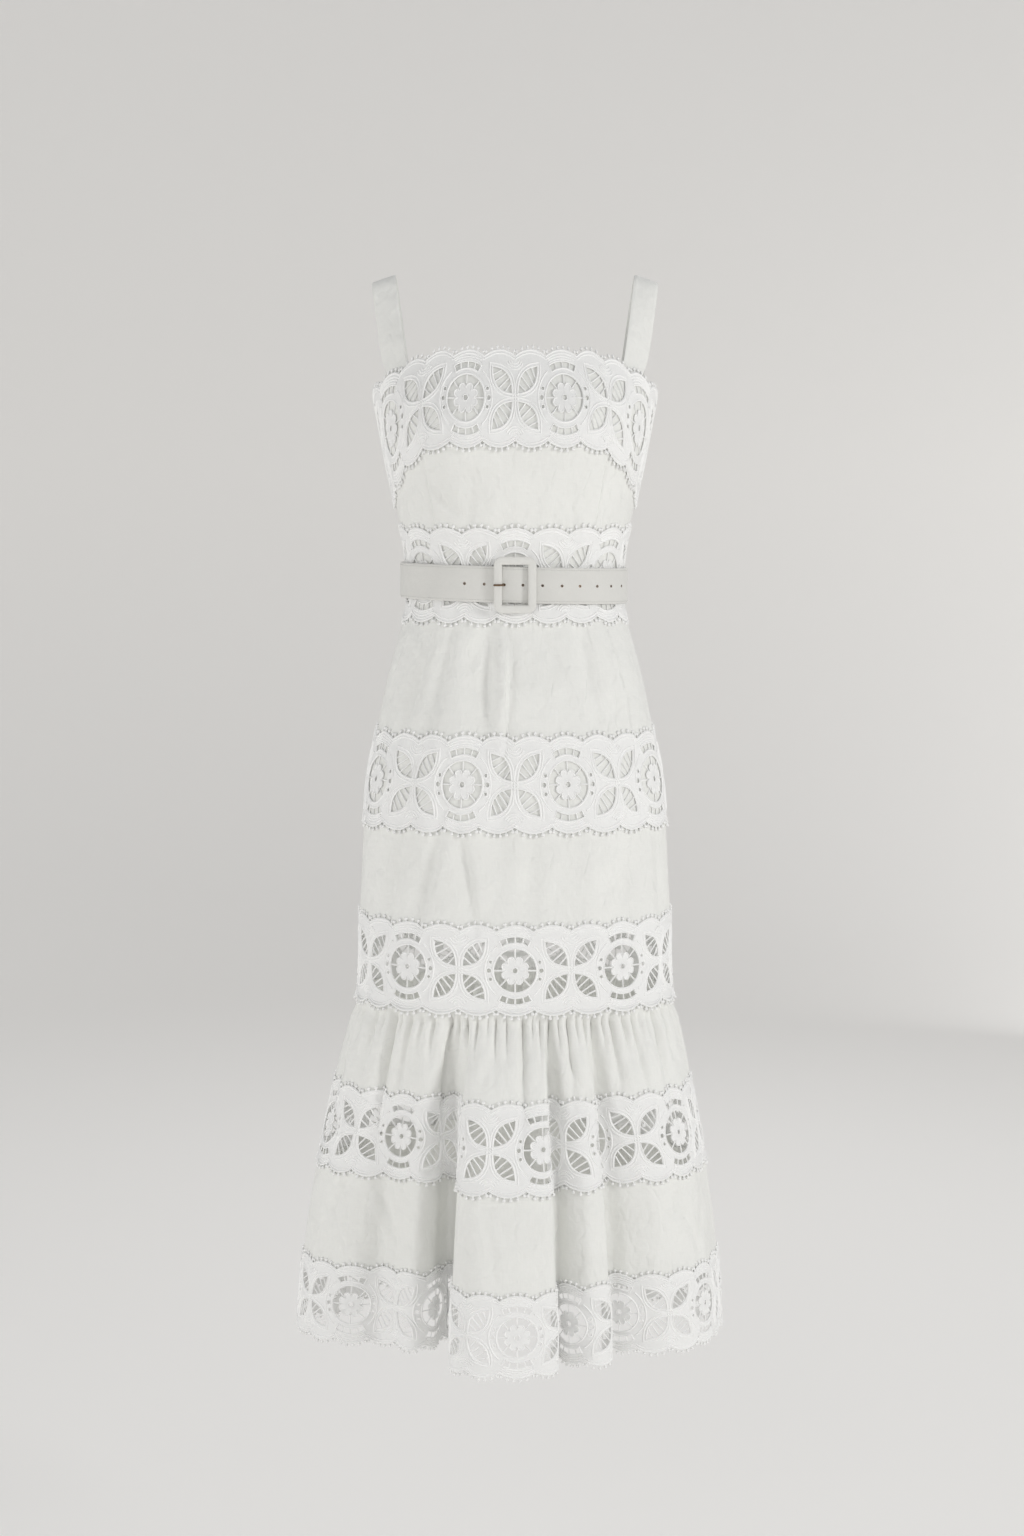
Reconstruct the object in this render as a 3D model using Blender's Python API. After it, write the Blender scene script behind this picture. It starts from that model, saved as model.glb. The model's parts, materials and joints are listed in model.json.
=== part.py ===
"""A sleeveless tiered lace midi dress with its covered belt, in the form it has when worn, hollow and open.

Metres, +Z up. The front faces -Y. The origin is midway between the crests of the two shoulder straps, where
a wearer holds the dress up. Every cloth piece is a wall: a grid laid on the dress's surface and extruded
outwards. The surface is given by how far round a point is (0 at the centre back, 0.25 at the -X side, 0.5 at
the centre front) and by its height, and pieces that lie on each other take their points from the same rows.
"""

import math

import bmesh
import bpy
import numpy as np
from mathutils import Matrix, Vector

MM = 0.001

# How the cloth is built up, from the inside out
CLOTH = 1.0 * MM
LACE = 1.2 * MM
BETWEEN_LAYERS = 0.5 * MM
SEAM_GAP = 0.3 * MM
LACE_INSIDE = CLOTH + BETWEEN_LAYERS
LACE_OUTSIDE = LACE_INSIDE + LACE

# Columns of the grids round the fitted part and the knee lace; the flounce has one for each row of its folds
BODY_COLUMNS = 32
KNEE_COLUMNS = 64
PRINCESS_SEAM = 0.125  # from the centre front, as a share of the way round
SIDE_SEAM = 0.25

# Heights of the cuts, measured down from the strap crests
WAIST = -0.328
KNEE_SEAM = -0.781
FOLDS_START = -0.797
HEM = -1.166
LAP = 0.012  # how far lace lies over the cloth it is sewn to

BUST_GIRTH = 0.83

# The worn form: a section for each row, as (height, half width, front depth, back depth)
SECTIONS = (
    (-0.060, 0.1400, 0.088, 0.086),
    (-0.090, 0.1480, 0.101, 0.093),
    (-0.125, 0.1520, 0.114, 0.098),
    (-0.160, 0.1460, 0.124, 0.099),
    (-0.190, 0.1405, 0.124, 0.096),
    (-0.220, 0.1345, 0.115, 0.091),
    (-0.260, 0.1260, 0.102, 0.084),
    (-0.300, 0.1182, 0.0895, 0.0785),
    (-0.330, 0.1160, 0.088, 0.077),
    (-0.360, 0.1187, 0.0893, 0.0800),
    (-0.390, 0.1275, 0.095, 0.091),
    (-0.425, 0.1375, 0.101, 0.104),
    (-0.480, 0.1500, 0.110, 0.120),
    (-0.540, 0.1620, 0.117, 0.129),
    (-0.600, 0.1675, 0.121, 0.131),
    (-0.680, 0.1705, 0.125, 0.130),
    (-0.760, 0.1720, 0.128, 0.129),
    (-0.800, 0.1750, 0.131, 0.131),
)
ROUNDNESS = 2.15  # exponent of the section's superellipse: 2 is an ellipse

# Bust cups, shaped by the princess seams; they fade where the front turns to the side
CUP = {"out": 6 * MM, "from_centre": 0.066, "height": -0.165, "wide": 0.040, "tall": 0.042, "fade": 0.050}

# Soft troughs of the fitted skirt, as (way round, half width, millimetres deep at the hip, and at the knee),
# and the heights between which they deepen from none, pass from hip to knee, and fade before the knee lace
TROUGHS_DEEPEN = (-0.368, -0.528)
TROUGHS_PASS = (-0.500, -0.700)
TROUGHS_FADE = (-0.610, -0.685)
SKIRT_TROUGHS = (
    (0.060, 0.030, 3.0, 5.0),
    (0.150, 0.035, 2.0, 4.0),
    (0.262, 0.030, 2.0, 4.0),
    (0.372, 0.030, 3.0, 3.5),
    (0.480, 0.026, 4.5, 4.0),
    (0.560, 0.030, 2.0, 3.0),
    (0.655, 0.028, 4.0, 4.0),
    (0.750, 0.030, 2.0, 4.0),
    (0.850, 0.035, 2.5, 5.0),
    (0.940, 0.030, 3.0, 4.5),
)

# The front of the flounce's hem seen from above, from the right side seam to the left, as (way round at the
# gathered seam, x, y in millimetres)
FRONT_FOLDS = (
    (0.250, -241, 4),
    (0.283, -234, -34),
    (0.309, -213, -62),
    (0.350, -176, -77),
    (0.376, -149, -75),
    (0.390, -134, -84),
    (0.411, -110, -105),
    (0.4225, -93, -94),
    (0.429, -85, -72),
    (0.435, -75, -60),
    (0.440, -64, -70),
    (0.4455, -63, -102),
    (0.451, -68, -138),
    (0.457, -64, -174),
    (0.469, -44, -192),
    (0.4905, -12, -199),
    (0.517, 22, -195),
    (0.530, 42, -179),
    (0.534, 42, -158),
    (0.5375, 37, -143),
    (0.5415, 47, -137),
    (0.5485, 62, -150),
    (0.5635, 84, -159),
    (0.5775, 101, -146),
    (0.582, 98, -124),
    (0.5862, 93, -109),
    (0.592, 105, -102),
    (0.6025, 126, -109),
    (0.6275, 156, -111),
    (0.656, 186, -97),
    (0.6875, 211, -66),
    (0.725, 225, -24),
    (0.750, 229, 10),
)

# The back's folds are even: how many, their depth as a share of the hem's reach behind the side seams, and
# that reach
BACK_FOLDS = {"count": 8, "deep": 0.22, "reach": 0.186, "columns_each": 4}
HEM_SPREAD = 1.65  # how soon below the seam the folds open: 1 is evenly down to the hem

# The neckline is straight across the front, as far as a share of the way round, falls to the underarm and is
# level again on the back. Each edge of the bodice drops from its height in front by (at side, at back).
NECK_LEVEL_TO = 0.085
BACK_LEVEL_FROM = 0.370
TOP_DROPS = (0.040, 0.044)
MIDDLE_DROPS = (0.050, 0.044)
LOWER_DROPS = (0.060, 0.046)

# A strap's route over the shoulder, as (distance from the middle plane, distance behind it, height, and how
# far its outer edge falls and lies back, as shares of the strap's width)
STRAP_ROUTE = (
    (0.1295, -0.0500, -0.0880, 0.10, 1.00),
    (0.1360, -0.0350, -0.0470, 0.20, 0.55),
    (0.1410, -0.0175, -0.0110, 0.30, 0.20),
    (0.1425, 0.0000, -0.0006, 0.34, 0.00),
    (0.1410, 0.0195, -0.0120, 0.30, -0.20),
    (0.1360, 0.0365, -0.0500, 0.20, -0.55),
    (0.1295, 0.0490, -0.0980, 0.10, -1.00),
)
STRAP = {
    "width": 0.026,
    "thick": 1.1 * MM,
    "behind": 3.0 * MM,
    "front_foot": 0.1615,
    "back_foot": 0.345,
    "sewn": 3.0 * MM,
    "steps": 20,
}

# The belt goes once round and its lap lies over the start, with the tip past the wearer's right side. It
# steps out over itself between two shares of the way round, and hangs a little lower at the wearer's left.
BELT = {
    "bottom": -0.348,
    "top": -0.3095,
    "tilt": 0.025,
    "thick": 1.6 * MM,
    "row_off": 4.0 * MM,
    "clear": 5.8 * MM,
    "step_out": 2.2 * MM,
    "step_from": 0.80,
    "step_to": 0.94,
    "start": 2.2 * MM,
    "slot_end": 15.0 * MM,
    "hole_at": 12.2 * MM,
    "hole": 3.0 * MM,
    "tip_reach": 0.215,
    "tip_tall": 0.72,
    "panels": 28,
    "lap_panels": 8,
}
BUCKLE = {
    "wide": 0.0455,
    "tall": 0.0605,
    "rail": 0.0088,
    "thick": 5.0 * MM,
    "corner": 5.0 * MM,
    "off_belt": 1.3 * MM,
}
BAR = 1.0 * MM
PRONG = 1.0 * MM

# The prong's way over the frame's rail, as (across from the rail's middle, in rails, and millimetres back from
# its crest)
PRONG_OVER_RAIL = ((0.66, 2.55), (0.45, 0.7), (0.24, 0.05), (0.0, 0.0), (-0.5, 1.2))

# The zip at the centre back: its closed tape behind the opening, and its slider, pin and pull at the top
ZIP = {"wide": 0.012, "gap": 0.5 * MM, "thick": 1.0 * MM}
SLIDER = {
    "wide": 5.2 * MM,
    "deep": 2.0 * MM,
    "tall": 9.0 * MM,
    "ear": 1.0 * MM,
    "ear_in": 0.4 * MM,
    "off_lace": 1.2 * MM,
    "below_edge": 12.5 * MM,
    "pin_down": 1.5 * MM,
}
PULL = {
    "pin": 0.6 * MM,
    "eye": 1.0 * MM,
    "eye_outer": 1.8 * MM,
    "eye_wide": 2.4 * MM,
    "long": 24.0 * MM,
    "wide": 5.0 * MM,
}

# The pull's tongue below its eye, as (way down, width), both as shares of the whole
PULL_TONGUE = ((0.16, 0.48), (0.34, 0.50), (0.66, 0.95), (0.90, 1.00), (1.00, 0.62))

WHITE_CLOTH = (0.86, 0.86, 0.84)
WHITE_LACE = (0.90, 0.90, 0.90)
BELT_CLOTH = (0.82, 0.82, 0.79)
BRONZE = (0.20, 0.13, 0.08)
ZIP_METAL = (0.75, 0.75, 0.74)


# ---------------------------------------------------------------- the dress's surface


def smoothstep(x):
    x = np.clip(x, 0.0, 1.0)
    return x * x * (3.0 - 2.0 * x)


def smooth_through(at, knots, values):
    """A smooth curve through a table's values at increasing knots, read at one place."""
    i = int(np.clip(np.searchsorted(knots, at) - 1, 0, len(knots) - 2))
    slopes = np.gradient(values, knots, axis=0)
    step = knots[i + 1] - knots[i]
    t = (at - knots[i]) / step
    start, end = values[i], values[i + 1]
    rise = (t**3 - 2 * t**2 + t) * step * slopes[i] + (t**3 - t**2) * step * slopes[i + 1]
    return (2 * t**3 - 3 * t**2 + 1) * start + (3 * t**2 - 2 * t**3) * end + rise


def section_at(z):
    """(half width, front depth, back depth) at a height."""
    rows = np.array(SECTIONS)[::-1]
    return smooth_through(max(z, rows[0, 0]), rows[:, 0], rows[:, 1:])


def quarter(half_width, depth, share):
    """(across, out) at an even share of the way along a quarter section, from its centre to its side."""
    angle = np.linspace(0, math.pi / 2, 257)
    across = half_width * np.sin(angle) ** (2 / ROUNDNESS)
    out = depth * np.cos(angle) ** (2 / ROUNDNESS)
    along = np.concatenate([[0], np.cumsum(np.hypot(np.diff(across), np.diff(out)))])
    at = share * along[-1]
    return float(np.interp(at, along, across)), float(np.interp(at, along, out))


def trough_depth(way, z):
    """How far the fitted skirt's soft folds go in at a point."""
    stages = (TROUGHS_DEEPEN, TROUGHS_PASS, TROUGHS_FADE)
    below_waist, to_knee, faded = (smoothstep((start - z) / (start - end)) for start, end in stages)
    depth = 0.0
    for centre, half, at_hip, at_knee in SKIRT_TROUGHS:
        off = abs((way - centre + 0.5) % 1.0 - 0.5)
        hollow = (1 + math.cos(math.pi * min(off / half, 1.0))) / 2
        depth += (at_hip + (at_knee - at_hip) * to_knee) * hollow
    return depth * below_waist * (1 - faded) * MM


def fitted(way, z):
    """The innermost face of the cloth from the neckline to the gathered seam."""
    way %= 1.0
    half_width, front, back = section_at(z)
    from_front = abs(way - 0.5)
    if from_front <= 0.25:
        across, out = quarter(half_width, front, from_front / 0.25)
        forward = -1.0
    else:
        across, out = quarter(half_width, back, (0.5 - from_front) / 0.25)
        forward = 1.0
    side = -1.0 if way < 0.5 else 1.0
    in_by = trough_depth(way, z) / math.hypot(across / half_width**2, out / back**2)
    x = across - in_by * across / half_width**2
    y = out - in_by * out / back**2
    if forward < 0:
        sideways = (across - CUP["from_centre"]) / CUP["wide"]
        upwards = (z - CUP["height"]) / CUP["tall"]
        y += CUP["out"] * math.exp(-(sideways**2 + upwards**2)) * smoothstep(out / CUP["fade"])
    return Vector((side * x, forward * y, z))


def hem_folds():
    """The hem all round as rows of (way, x, y): the front's table, the back's folds, then the first again."""
    front = np.array(FRONT_FOLDS) * (1, MM, MM)
    middle = (front[0, 1:] + front[-1, 1:]) / 2
    half_width = (front[-1, 1] - front[0, 1]) / 2
    columns = BACK_FOLDS["count"] * BACK_FOLDS["columns_each"]
    share = (np.arange(columns) + 0.5) / columns
    fold = 1 - BACK_FOLDS["deep"] * (1 - np.cos(2 * math.pi * BACK_FOLDS["count"] * share)) / 2
    x = middle[0] + half_width * np.cos(math.pi * share) * fold
    y = middle[1] + BACK_FOLDS["reach"] * np.sin(math.pi * share) * fold
    back = np.column_stack([1 - SIDE_SEAM + 2 * SIDE_SEAM * share, x, y])
    return np.vstack([front, back, front[0] + (1, 0, 0)])


HEM_FOLDS = hem_folds()


def gathered(column, z):
    """The innermost face of the flounce, at a column counted from the right side seam, and a height."""
    columns = range(len(HEM_FOLDS))
    way, x, y = (np.interp(column % columns[-1], columns, HEM_FOLDS[:, k]) for k in range(3))
    top = fitted(way, max(z, FOLDS_START))
    down = float(np.clip((FOLDS_START - z) / (FOLDS_START - HEM), 0, 1))
    opened = 1 - (1 - down) ** HEM_SPREAD
    return Vector((top.x + (x - top.x) * opened, top.y + (y - top.y) * opened, z))


def round_and_up(skin, at, z):
    """The directions round the dress and up it, at a point of its surface."""
    step = 0.0015 if skin is fitted else 1
    along = skin(at + step, z) - skin(at - step, z)
    up = skin(at, z + 0.002) - skin(at, z - 0.002)
    return along.normalized(), up.normalized()


def surface(skin, at, z, out):
    """A point that stands out from the cloth's innermost face."""
    along, up = round_and_up(skin, at, z)
    return skin(at, z) + along.cross(up).normalized() * out


# ---------------------------------------------------------------- rows: the height of each cut and edge


def from_front(way):
    return abs(way % 1.0 - 0.5)


def drop(way, drops):
    """How far an edge of the bodice has fallen from its height at the centre front."""
    at_side, at_back = drops
    to_side = float(smoothstep((from_front(way) - NECK_LEVEL_TO) / (SIDE_SEAM - NECK_LEVEL_TO)))
    to_back = float(smoothstep((from_front(way) - SIDE_SEAM) / (BACK_LEVEL_FROM - SIDE_SEAM)))
    return at_side * to_side + (at_back - at_side) * to_back


ROWS = {
    "bust_lace_top": lambda way: -0.0765 - drop(way, TOP_DROPS),
    "bodice_top": lambda way: -0.092 - drop(way, TOP_DROPS),
    "bust_lace_middle": lambda way: -0.137 - drop(way, MIDDLE_DROPS),
    "bust_lace_bottom": lambda way: -0.189 - drop(way, LOWER_DROPS),
    "waist_lace_top": lambda way: -0.262,
    "belt_top": lambda way: BELT["top"] + BELT["row_off"],
    "waist": lambda way: WAIST,
    "belt_bottom": lambda way: BELT["bottom"] - BELT["row_off"],
    "waist_lace_bottom": lambda way: -0.376,
    "high_hip": lambda way: -0.425,
    "hip_lace_top": lambda way: -0.484,
    "hip_lace_middle": lambda way: -0.541,
    "hip_lace_bottom": lambda way: -0.598,
    "knee_lace_top": lambda way: -0.685,
    "skirt_bottom": lambda way: -0.685 - LAP,
    "flounce_top": lambda way: KNEE_SEAM,
    "knee_lace_bottom": lambda way: KNEE_SEAM - 0.011,
    "below_knee": lambda way: FOLDS_START,
    "flounce_lace_top": lambda way: -0.873,
    "upper_tier_bottom": lambda way: -0.873 - LAP,
    "lower_tier_top": lambda way: -0.978 + LAP,
    "flounce_lace_bottom": lambda way: -0.978,
    "hem_lace_top": lambda way: -1.070,
    "lower_tier_bottom": lambda way: -1.070 - LAP,
    "hem": lambda way: HEM,
}


# ---------------------------------------------------------------- making solids


def finish(form, name, of_material, smooth=False):
    """Writes a bmesh to a named object with its material."""
    bmesh.ops.remove_doubles(form, verts=form.verts, dist=1e-6)
    bmesh.ops.recalc_face_normals(form, faces=form.faces)
    if form.calc_volume(signed=True) < 0:
        bmesh.ops.reverse_faces(form, faces=form.faces)
    mesh = bpy.data.meshes.new(name)
    form.to_mesh(mesh)
    form.free()
    mesh.materials.append(of_material)
    if smooth:
        mesh.shade_smooth()
    thing = bpy.data.objects.new(name, mesh)
    bpy.context.scene.collection.objects.link(thing)
    return thing


def wall(name, across, up, place, inside, outside, of_material, opened=None):
    """A closed wall: a grid whose corners place(i, j, out) puts on a surface, extruded outwards."""
    form = bmesh.new()
    bmesh.ops.create_grid(form, x_segments=across, y_segments=up, size=0.5)

    def corner(co):
        return round((co.x + 0.5) * across), round((co.y + 0.5) * up)

    if opened:
        cells = {f: min(corner(v.co) for v in f.verts) for f in form.faces}
        holes = [f for f, cell in cells.items() if opened(*cell)]
        bmesh.ops.delete(form, geom=holes, context="FACES")
    made = bmesh.ops.extrude_face_region(form, geom=form.faces[:], use_keep_orig=True)
    raised = {g for g in made["geom"] if isinstance(g, bmesh.types.BMVert)}
    for v in form.verts:
        v.co = place(*corner(v.co), outside if v in raised else inside)
    return finish(form, name, of_material)


def cloth(name, rows, first, last, net, inside, outside, of_material):
    """A cloth piece between two columns of a net, cut at the named rows from its bottom up."""
    rows = rows[::-1]
    half_gap = SEAM_GAP / 2

    def place(i, j, out):
        at = (first + i) * net["step"]
        z = ROWS[rows[j]](at)
        if j == 0:
            z += half_gap
        if j == len(rows) - 1:
            z -= half_gap
        inwards = half_gap * ((i == 0) - (i == last - first))
        return surface(net["skin"], at, z, out) + round_and_up(net["skin"], at, z)[0] * inwards

    return wall(name, last - first, len(rows) - 1, place, inside, outside, of_material)


def halves(name, rows, net, inside, outside, of_material, split_back=False):
    """Front and back pieces of one ring of cloth, with the back in two where it opens."""
    right, left, whole = net["right_side"], net["left_side"], net["columns"]
    cloth(f"{name}_front", rows, right, left, net, inside, outside, of_material)
    spans = [("back", left, whole + right)]
    if split_back:
        spans = [("back_right", whole, whole + right), ("back_left", left, whole)]
    for side, first, last in spans:
        cloth(f"{name}_{side}", rows, first, last, net, inside, outside, of_material)


def even_net(columns):
    """A net with evenly spaced columns round the fitted part."""
    return {
        "skin": fitted,
        "columns": columns,
        "step": 1 / columns,
        "right_side": columns // 4,
        "left_side": 3 * columns // 4,
    }


def folded_net():
    """A net with a column at each row of the hem's folds."""
    columns = len(HEM_FOLDS) - 1
    left_side = len(FRONT_FOLDS) - 1
    return {"skin": gathered, "columns": columns, "step": 1, "right_side": 0, "left_side": left_side}


def material(name, colour, roughness, metallic=0.0):
    made = bpy.data.materials.new(name)
    made.use_nodes = True
    shader = made.node_tree.nodes["Principled BSDF"]
    shader.inputs["Base Color"].default_value = (*colour, 1.0)
    shader.inputs["Roughness"].default_value = roughness
    shader.inputs["Metallic"].default_value = metallic
    made.diffuse_color = (*colour, 1.0)
    return made


# ---------------------------------------------------------------- the bodice


def make_bodice(linen):
    """Five panels with princess seams in front and a centre back opening."""
    rows = ["bodice_top", "bust_lace_middle", "bust_lace_bottom", "waist_lace_top", "belt_top", "waist"]
    seam = int(PRINCESS_SEAM * BODY_COLUMNS)
    middle, quarter_way = BODY_COLUMNS // 2, BODY_COLUMNS // 4
    cuts = {
        "bodice_front_centre": (middle - seam, middle + seam),
        "bodice_front_side_right": (quarter_way, middle - seam),
        "bodice_front_side_left": (middle + seam, 3 * quarter_way),
        "bodice_back_left": (3 * quarter_way, BODY_COLUMNS),
        "bodice_back_right": (BODY_COLUMNS, BODY_COLUMNS + quarter_way),
    }
    for name, (first, last) in cuts.items():
        cloth(name, rows, first, last, even_net(BODY_COLUMNS), 0, CLOTH, linen)


def make_body_lace(lace):
    """The three bands of lace that lie on the fitted cloth."""
    bust = ["bust_lace_top", "bodice_top", "bust_lace_middle", "bust_lace_bottom"]
    waist = ["waist_lace_top", "belt_top", "waist", "belt_bottom", "waist_lace_bottom"]
    hip = ["hip_lace_top", "hip_lace_middle", "hip_lace_bottom"]
    net = even_net(BODY_COLUMNS)
    halves("bust_lace", bust, net, LACE_INSIDE, LACE_OUTSIDE, lace, split_back=True)
    halves("waist_lace", waist, net, LACE_INSIDE, LACE_OUTSIDE, lace, split_back=True)
    halves("hip_lace", hip, net, LACE_INSIDE, LACE_OUTSIDE, lace)


def strap_line(side, edge):
    """Points from front to back along a strap's inner edge (-1), middle (0) or outer edge (1)."""
    half = edge * STRAP["width"] / 2
    feet = []
    for from_middle, outwards in ((STRAP["front_foot"], 1), (STRAP["back_foot"], -1)):
        way = 0.5 + side * (from_middle + outwards * half / BUST_GIRTH)
        feet.append(surface(fitted, way, ROWS["bodice_top"](way) - STRAP["sewn"], -STRAP["behind"]))
    over = [
        Vector((side * (across + half), behind + half * back, height - half * fall))
        for across, behind, height, fall, back in STRAP_ROUTE
    ]
    return smooth_line([feet[0], *over, feet[1]], STRAP["steps"])


def smooth_line(points, steps):
    """Evenly spaced points of a smooth curve through the given ones."""
    ends = [points[0] * 2 - points[1], *points, points[-1] * 2 - points[-2]]
    fine = []
    for a, b, c, d in zip(ends, ends[1:], ends[2:], ends[3:]):
        for k in range(16):
            t = k / 16
            pull = (2 * a - 5 * b + 4 * c - d) * t**2 + (3 * b - a - 3 * c + d) * t**3
            fine.append(0.5 * (2 * b + (c - a) * t + pull))
    fine.append(points[-1])
    line = np.array(fine)
    along = np.concatenate([[0], np.cumsum(np.linalg.norm(np.diff(line, axis=0), axis=1))])
    at = np.linspace(0, along[-1], steps + 1)
    return [Vector([np.interp(s, along, line[:, k]) for k in range(3)]) for s in at]


def make_strap(name, side, linen):
    """A flat strap over one shoulder, sewn inside the lace's upper edge at the front and at the back."""
    lines = [strap_line(side, edge) for edge in (-1, 0, 1)]

    def place(i, j, out):
        ahead = lines[i][min(j + 1, STRAP["steps"])] - lines[i][max(j - 1, 0)]
        across = lines[2][j] - lines[0][j]
        facing = across.cross(ahead).normalized() * side
        return lines[i][j] + facing * out

    wall(name, 2, STRAP["steps"], place, 0, STRAP["thick"], linen)


def make_zip(tape, metal):
    """A closed concealed zip behind the centre back opening, with its slider and hanging pull outside."""
    rows = ["bodice_top", "bust_lace_middle", "bust_lace_bottom", "waist_lace_top", "belt_top", "waist"]
    rows += ["belt_bottom", "waist_lace_bottom", "high_hip", "hip_lace_top"]
    columns = round(BUST_GIRTH / (ZIP["wide"] / 2))
    cloth("back_zip", rows, -1, 1, even_net(columns), -ZIP["gap"] - ZIP["thick"], -ZIP["gap"], tape)

    top = ROWS["bust_lace_top"](0.0) - SLIDER["below_edge"]
    back = surface(fitted, 0.0, top, LACE_OUTSIDE).y + SLIDER["off_lace"]
    hinge = Vector((0, back + SLIDER["deep"] + PULL["eye_outer"] + SEAM_GAP, top - SLIDER["pin_down"]))
    make_slider(hinge, back, top, metal)
    make_pull(hinge, metal)


def make_slider(hinge, back, top, metal):
    """The slider's body with two ears that hold the pull's pin."""
    form = bmesh.new()
    size = Vector((SLIDER["wide"], SLIDER["deep"], SLIDER["tall"]))
    middle = Vector((0, back + size.y / 2, top - size.z / 2))
    bmesh.ops.create_cube(form, size=1.0, matrix=Matrix.Translation(middle) @ Matrix.Diagonal((*size, 1)))
    ear_inside = size.x / 2 - SLIDER["ear"]
    ear_bottom = hinge.z - PULL["eye_outer"]
    for x in (-ear_inside, ear_inside):
        cut(form, (x, 0, 0), (1, 0, 0))
    cut(form, (0, 0, ear_bottom), (0, 0, 1))
    ears = [
        f
        for f in form.faces
        if f.normal.y > 0.9
        and abs(f.calc_center_median().x) > ear_inside
        and f.calc_center_median().z > ear_bottom
    ]
    for face in bmesh.ops.extrude_discrete_faces(form, faces=ears)["faces"]:
        for v in face.verts:
            v.co.y = hinge.y + PULL["eye_outer"] - SLIDER["ear_in"]
            v.co.z = min(v.co.z, top - SLIDER["ear_in"])
    finish(form, "zip_slider", metal)
    bar(
        "zip_pin",
        Vector((-ear_inside + SEAM_GAP, hinge.y, hinge.z)),
        Vector((ear_inside - SEAM_GAP, hinge.y, hinge.z)),
        PULL["pin"],
        metal,
    )


def cut(form, point, normal):
    """Cuts every face of a bmesh along a plane and keeps both sides."""
    geometry = form.verts[:] + form.edges[:] + form.faces[:]
    bmesh.ops.bisect_plane(form, geom=geometry, dist=1e-7, plane_co=point, plane_no=normal)


def bar(name, start, end, radius, material_of, sides=12):
    """A round bar between two points."""
    form = bmesh.new()
    along = end - start
    turn = along.to_track_quat("Z", "Y").to_matrix().to_4x4()
    bmesh.ops.create_cone(
        form,
        cap_ends=True,
        segments=sides,
        radius1=radius,
        radius2=radius,
        depth=along.length,
        matrix=Matrix.Translation((start + end) / 2) @ turn,
    )
    return finish(form, name, material_of, smooth=True)


def draw_out(form, faces):
    """Extrudes faces of a closed form and gives the faces at the new end."""
    made = bmesh.ops.extrude_face_region(form, geom=faces)["geom"]
    bmesh.ops.delete(form, geom=faces, context="FACES")
    return [g for g in made if isinstance(g, bmesh.types.BMFace)]


def make_pull(hinge, metal):
    """The pull: an eye round the pin and a tongue that hangs below it, with its origin on the hinge."""
    form = bmesh.new()
    sides = 16
    turn = Matrix.Rotation(math.pi / 2, 4, "Y")
    bmesh.ops.create_circle(form, segments=sides, radius=PULL["eye"], matrix=turn)
    inner = form.edges[:]
    bmesh.ops.create_circle(form, segments=sides, radius=PULL["eye_outer"], matrix=turn)
    outer = [e for e in form.edges if e not in inner]
    bmesh.ops.bridge_loops(form, edges=inner + outer)
    bmesh.ops.translate(form, verts=form.verts, vec=(-PULL["eye_wide"] / 2, 0, 0))
    made = bmesh.ops.extrude_face_region(form, geom=form.faces[:], use_keep_orig=True)
    raised = [g for g in made["geom"] if isinstance(g, bmesh.types.BMVert)]
    bmesh.ops.translate(form, verts=raised, vec=(PULL["eye_wide"], 0, 0))
    bmesh.ops.recalc_face_normals(form, faces=form.faces)
    form.normal_update()
    lowest = -0.8 * PULL["eye_outer"]
    end = [f for f in form.faces if f.normal.z < -0.85 and f.calc_center_median().z < lowest]
    for length, wide in PULL_TONGUE:
        end = draw_out(form, end)
        for v in {v for f in end for v in f.verts}:
            v.co.z = -length * PULL["long"]
            v.co.x = math.copysign(PULL["wide"] / 2 * wide, v.co.x)
    pull = finish(form, "zip_pull", metal)
    pull.location = hinge


# ---------------------------------------------------------------- the belt


def girth_at(z, out):
    """The length all round, at a height, of a layer that stands out from the dress."""
    steps = 96
    points = [surface(fitted, k / steps, z, out) for k in range(steps)]
    return sum((points[k] - points[k - 1]).length for k in range(steps))


def belt_point(distance, z, out, girth):
    """A point of the belt, at a distance from the buckle's bar round towards the wearer's right."""
    turn = distance / girth
    through = (turn - BELT["step_from"]) / (BELT["step_to"] - BELT["step_from"])
    lapped = BELT["step_out"] * float(smoothstep(through))
    level = surface(fitted, 0.5 - turn, WAIST, BELT["clear"] + lapped + out)
    return Vector((level.x, level.y, z - BELT["tilt"] * level.x))


def make_belt(covered, metal):
    """The strap, which laps itself in front, with the buckle's frame, bar and prong."""
    girth = girth_at(WAIST, BELT["clear"])
    hole_ends = [girth + BELT["hole_at"] + end * BELT["hole"] / 2 for end in (-1, 1)]
    ends = girth + BELT["tip_reach"]
    stations = [BELT["start"], *np.linspace(BELT["slot_end"], hole_ends[0], BELT["panels"])]
    stations += [*np.linspace(hole_ends[1], ends, BELT["lap_panels"] + 1)]
    middle = (BELT["bottom"] + BELT["top"]) / 2
    half_hole = BELT["hole"] / 2
    levels = [BELT["bottom"], middle - half_hole, middle + half_hole, BELT["top"]]
    tip = len(stations) - 1

    def place(i, j, out):
        height = levels[j]
        if i == tip:
            height = middle + (height - middle) * BELT["tip_tall"]
        return belt_point(stations[i], height, out, girth)

    def opened(i, j):
        return j == 1 and i in (0, BELT["panels"])

    wall("belt_strap", tip, 3, place, 0, BELT["thick"], covered, opened)
    make_buckle(girth, middle, covered, metal)


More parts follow.
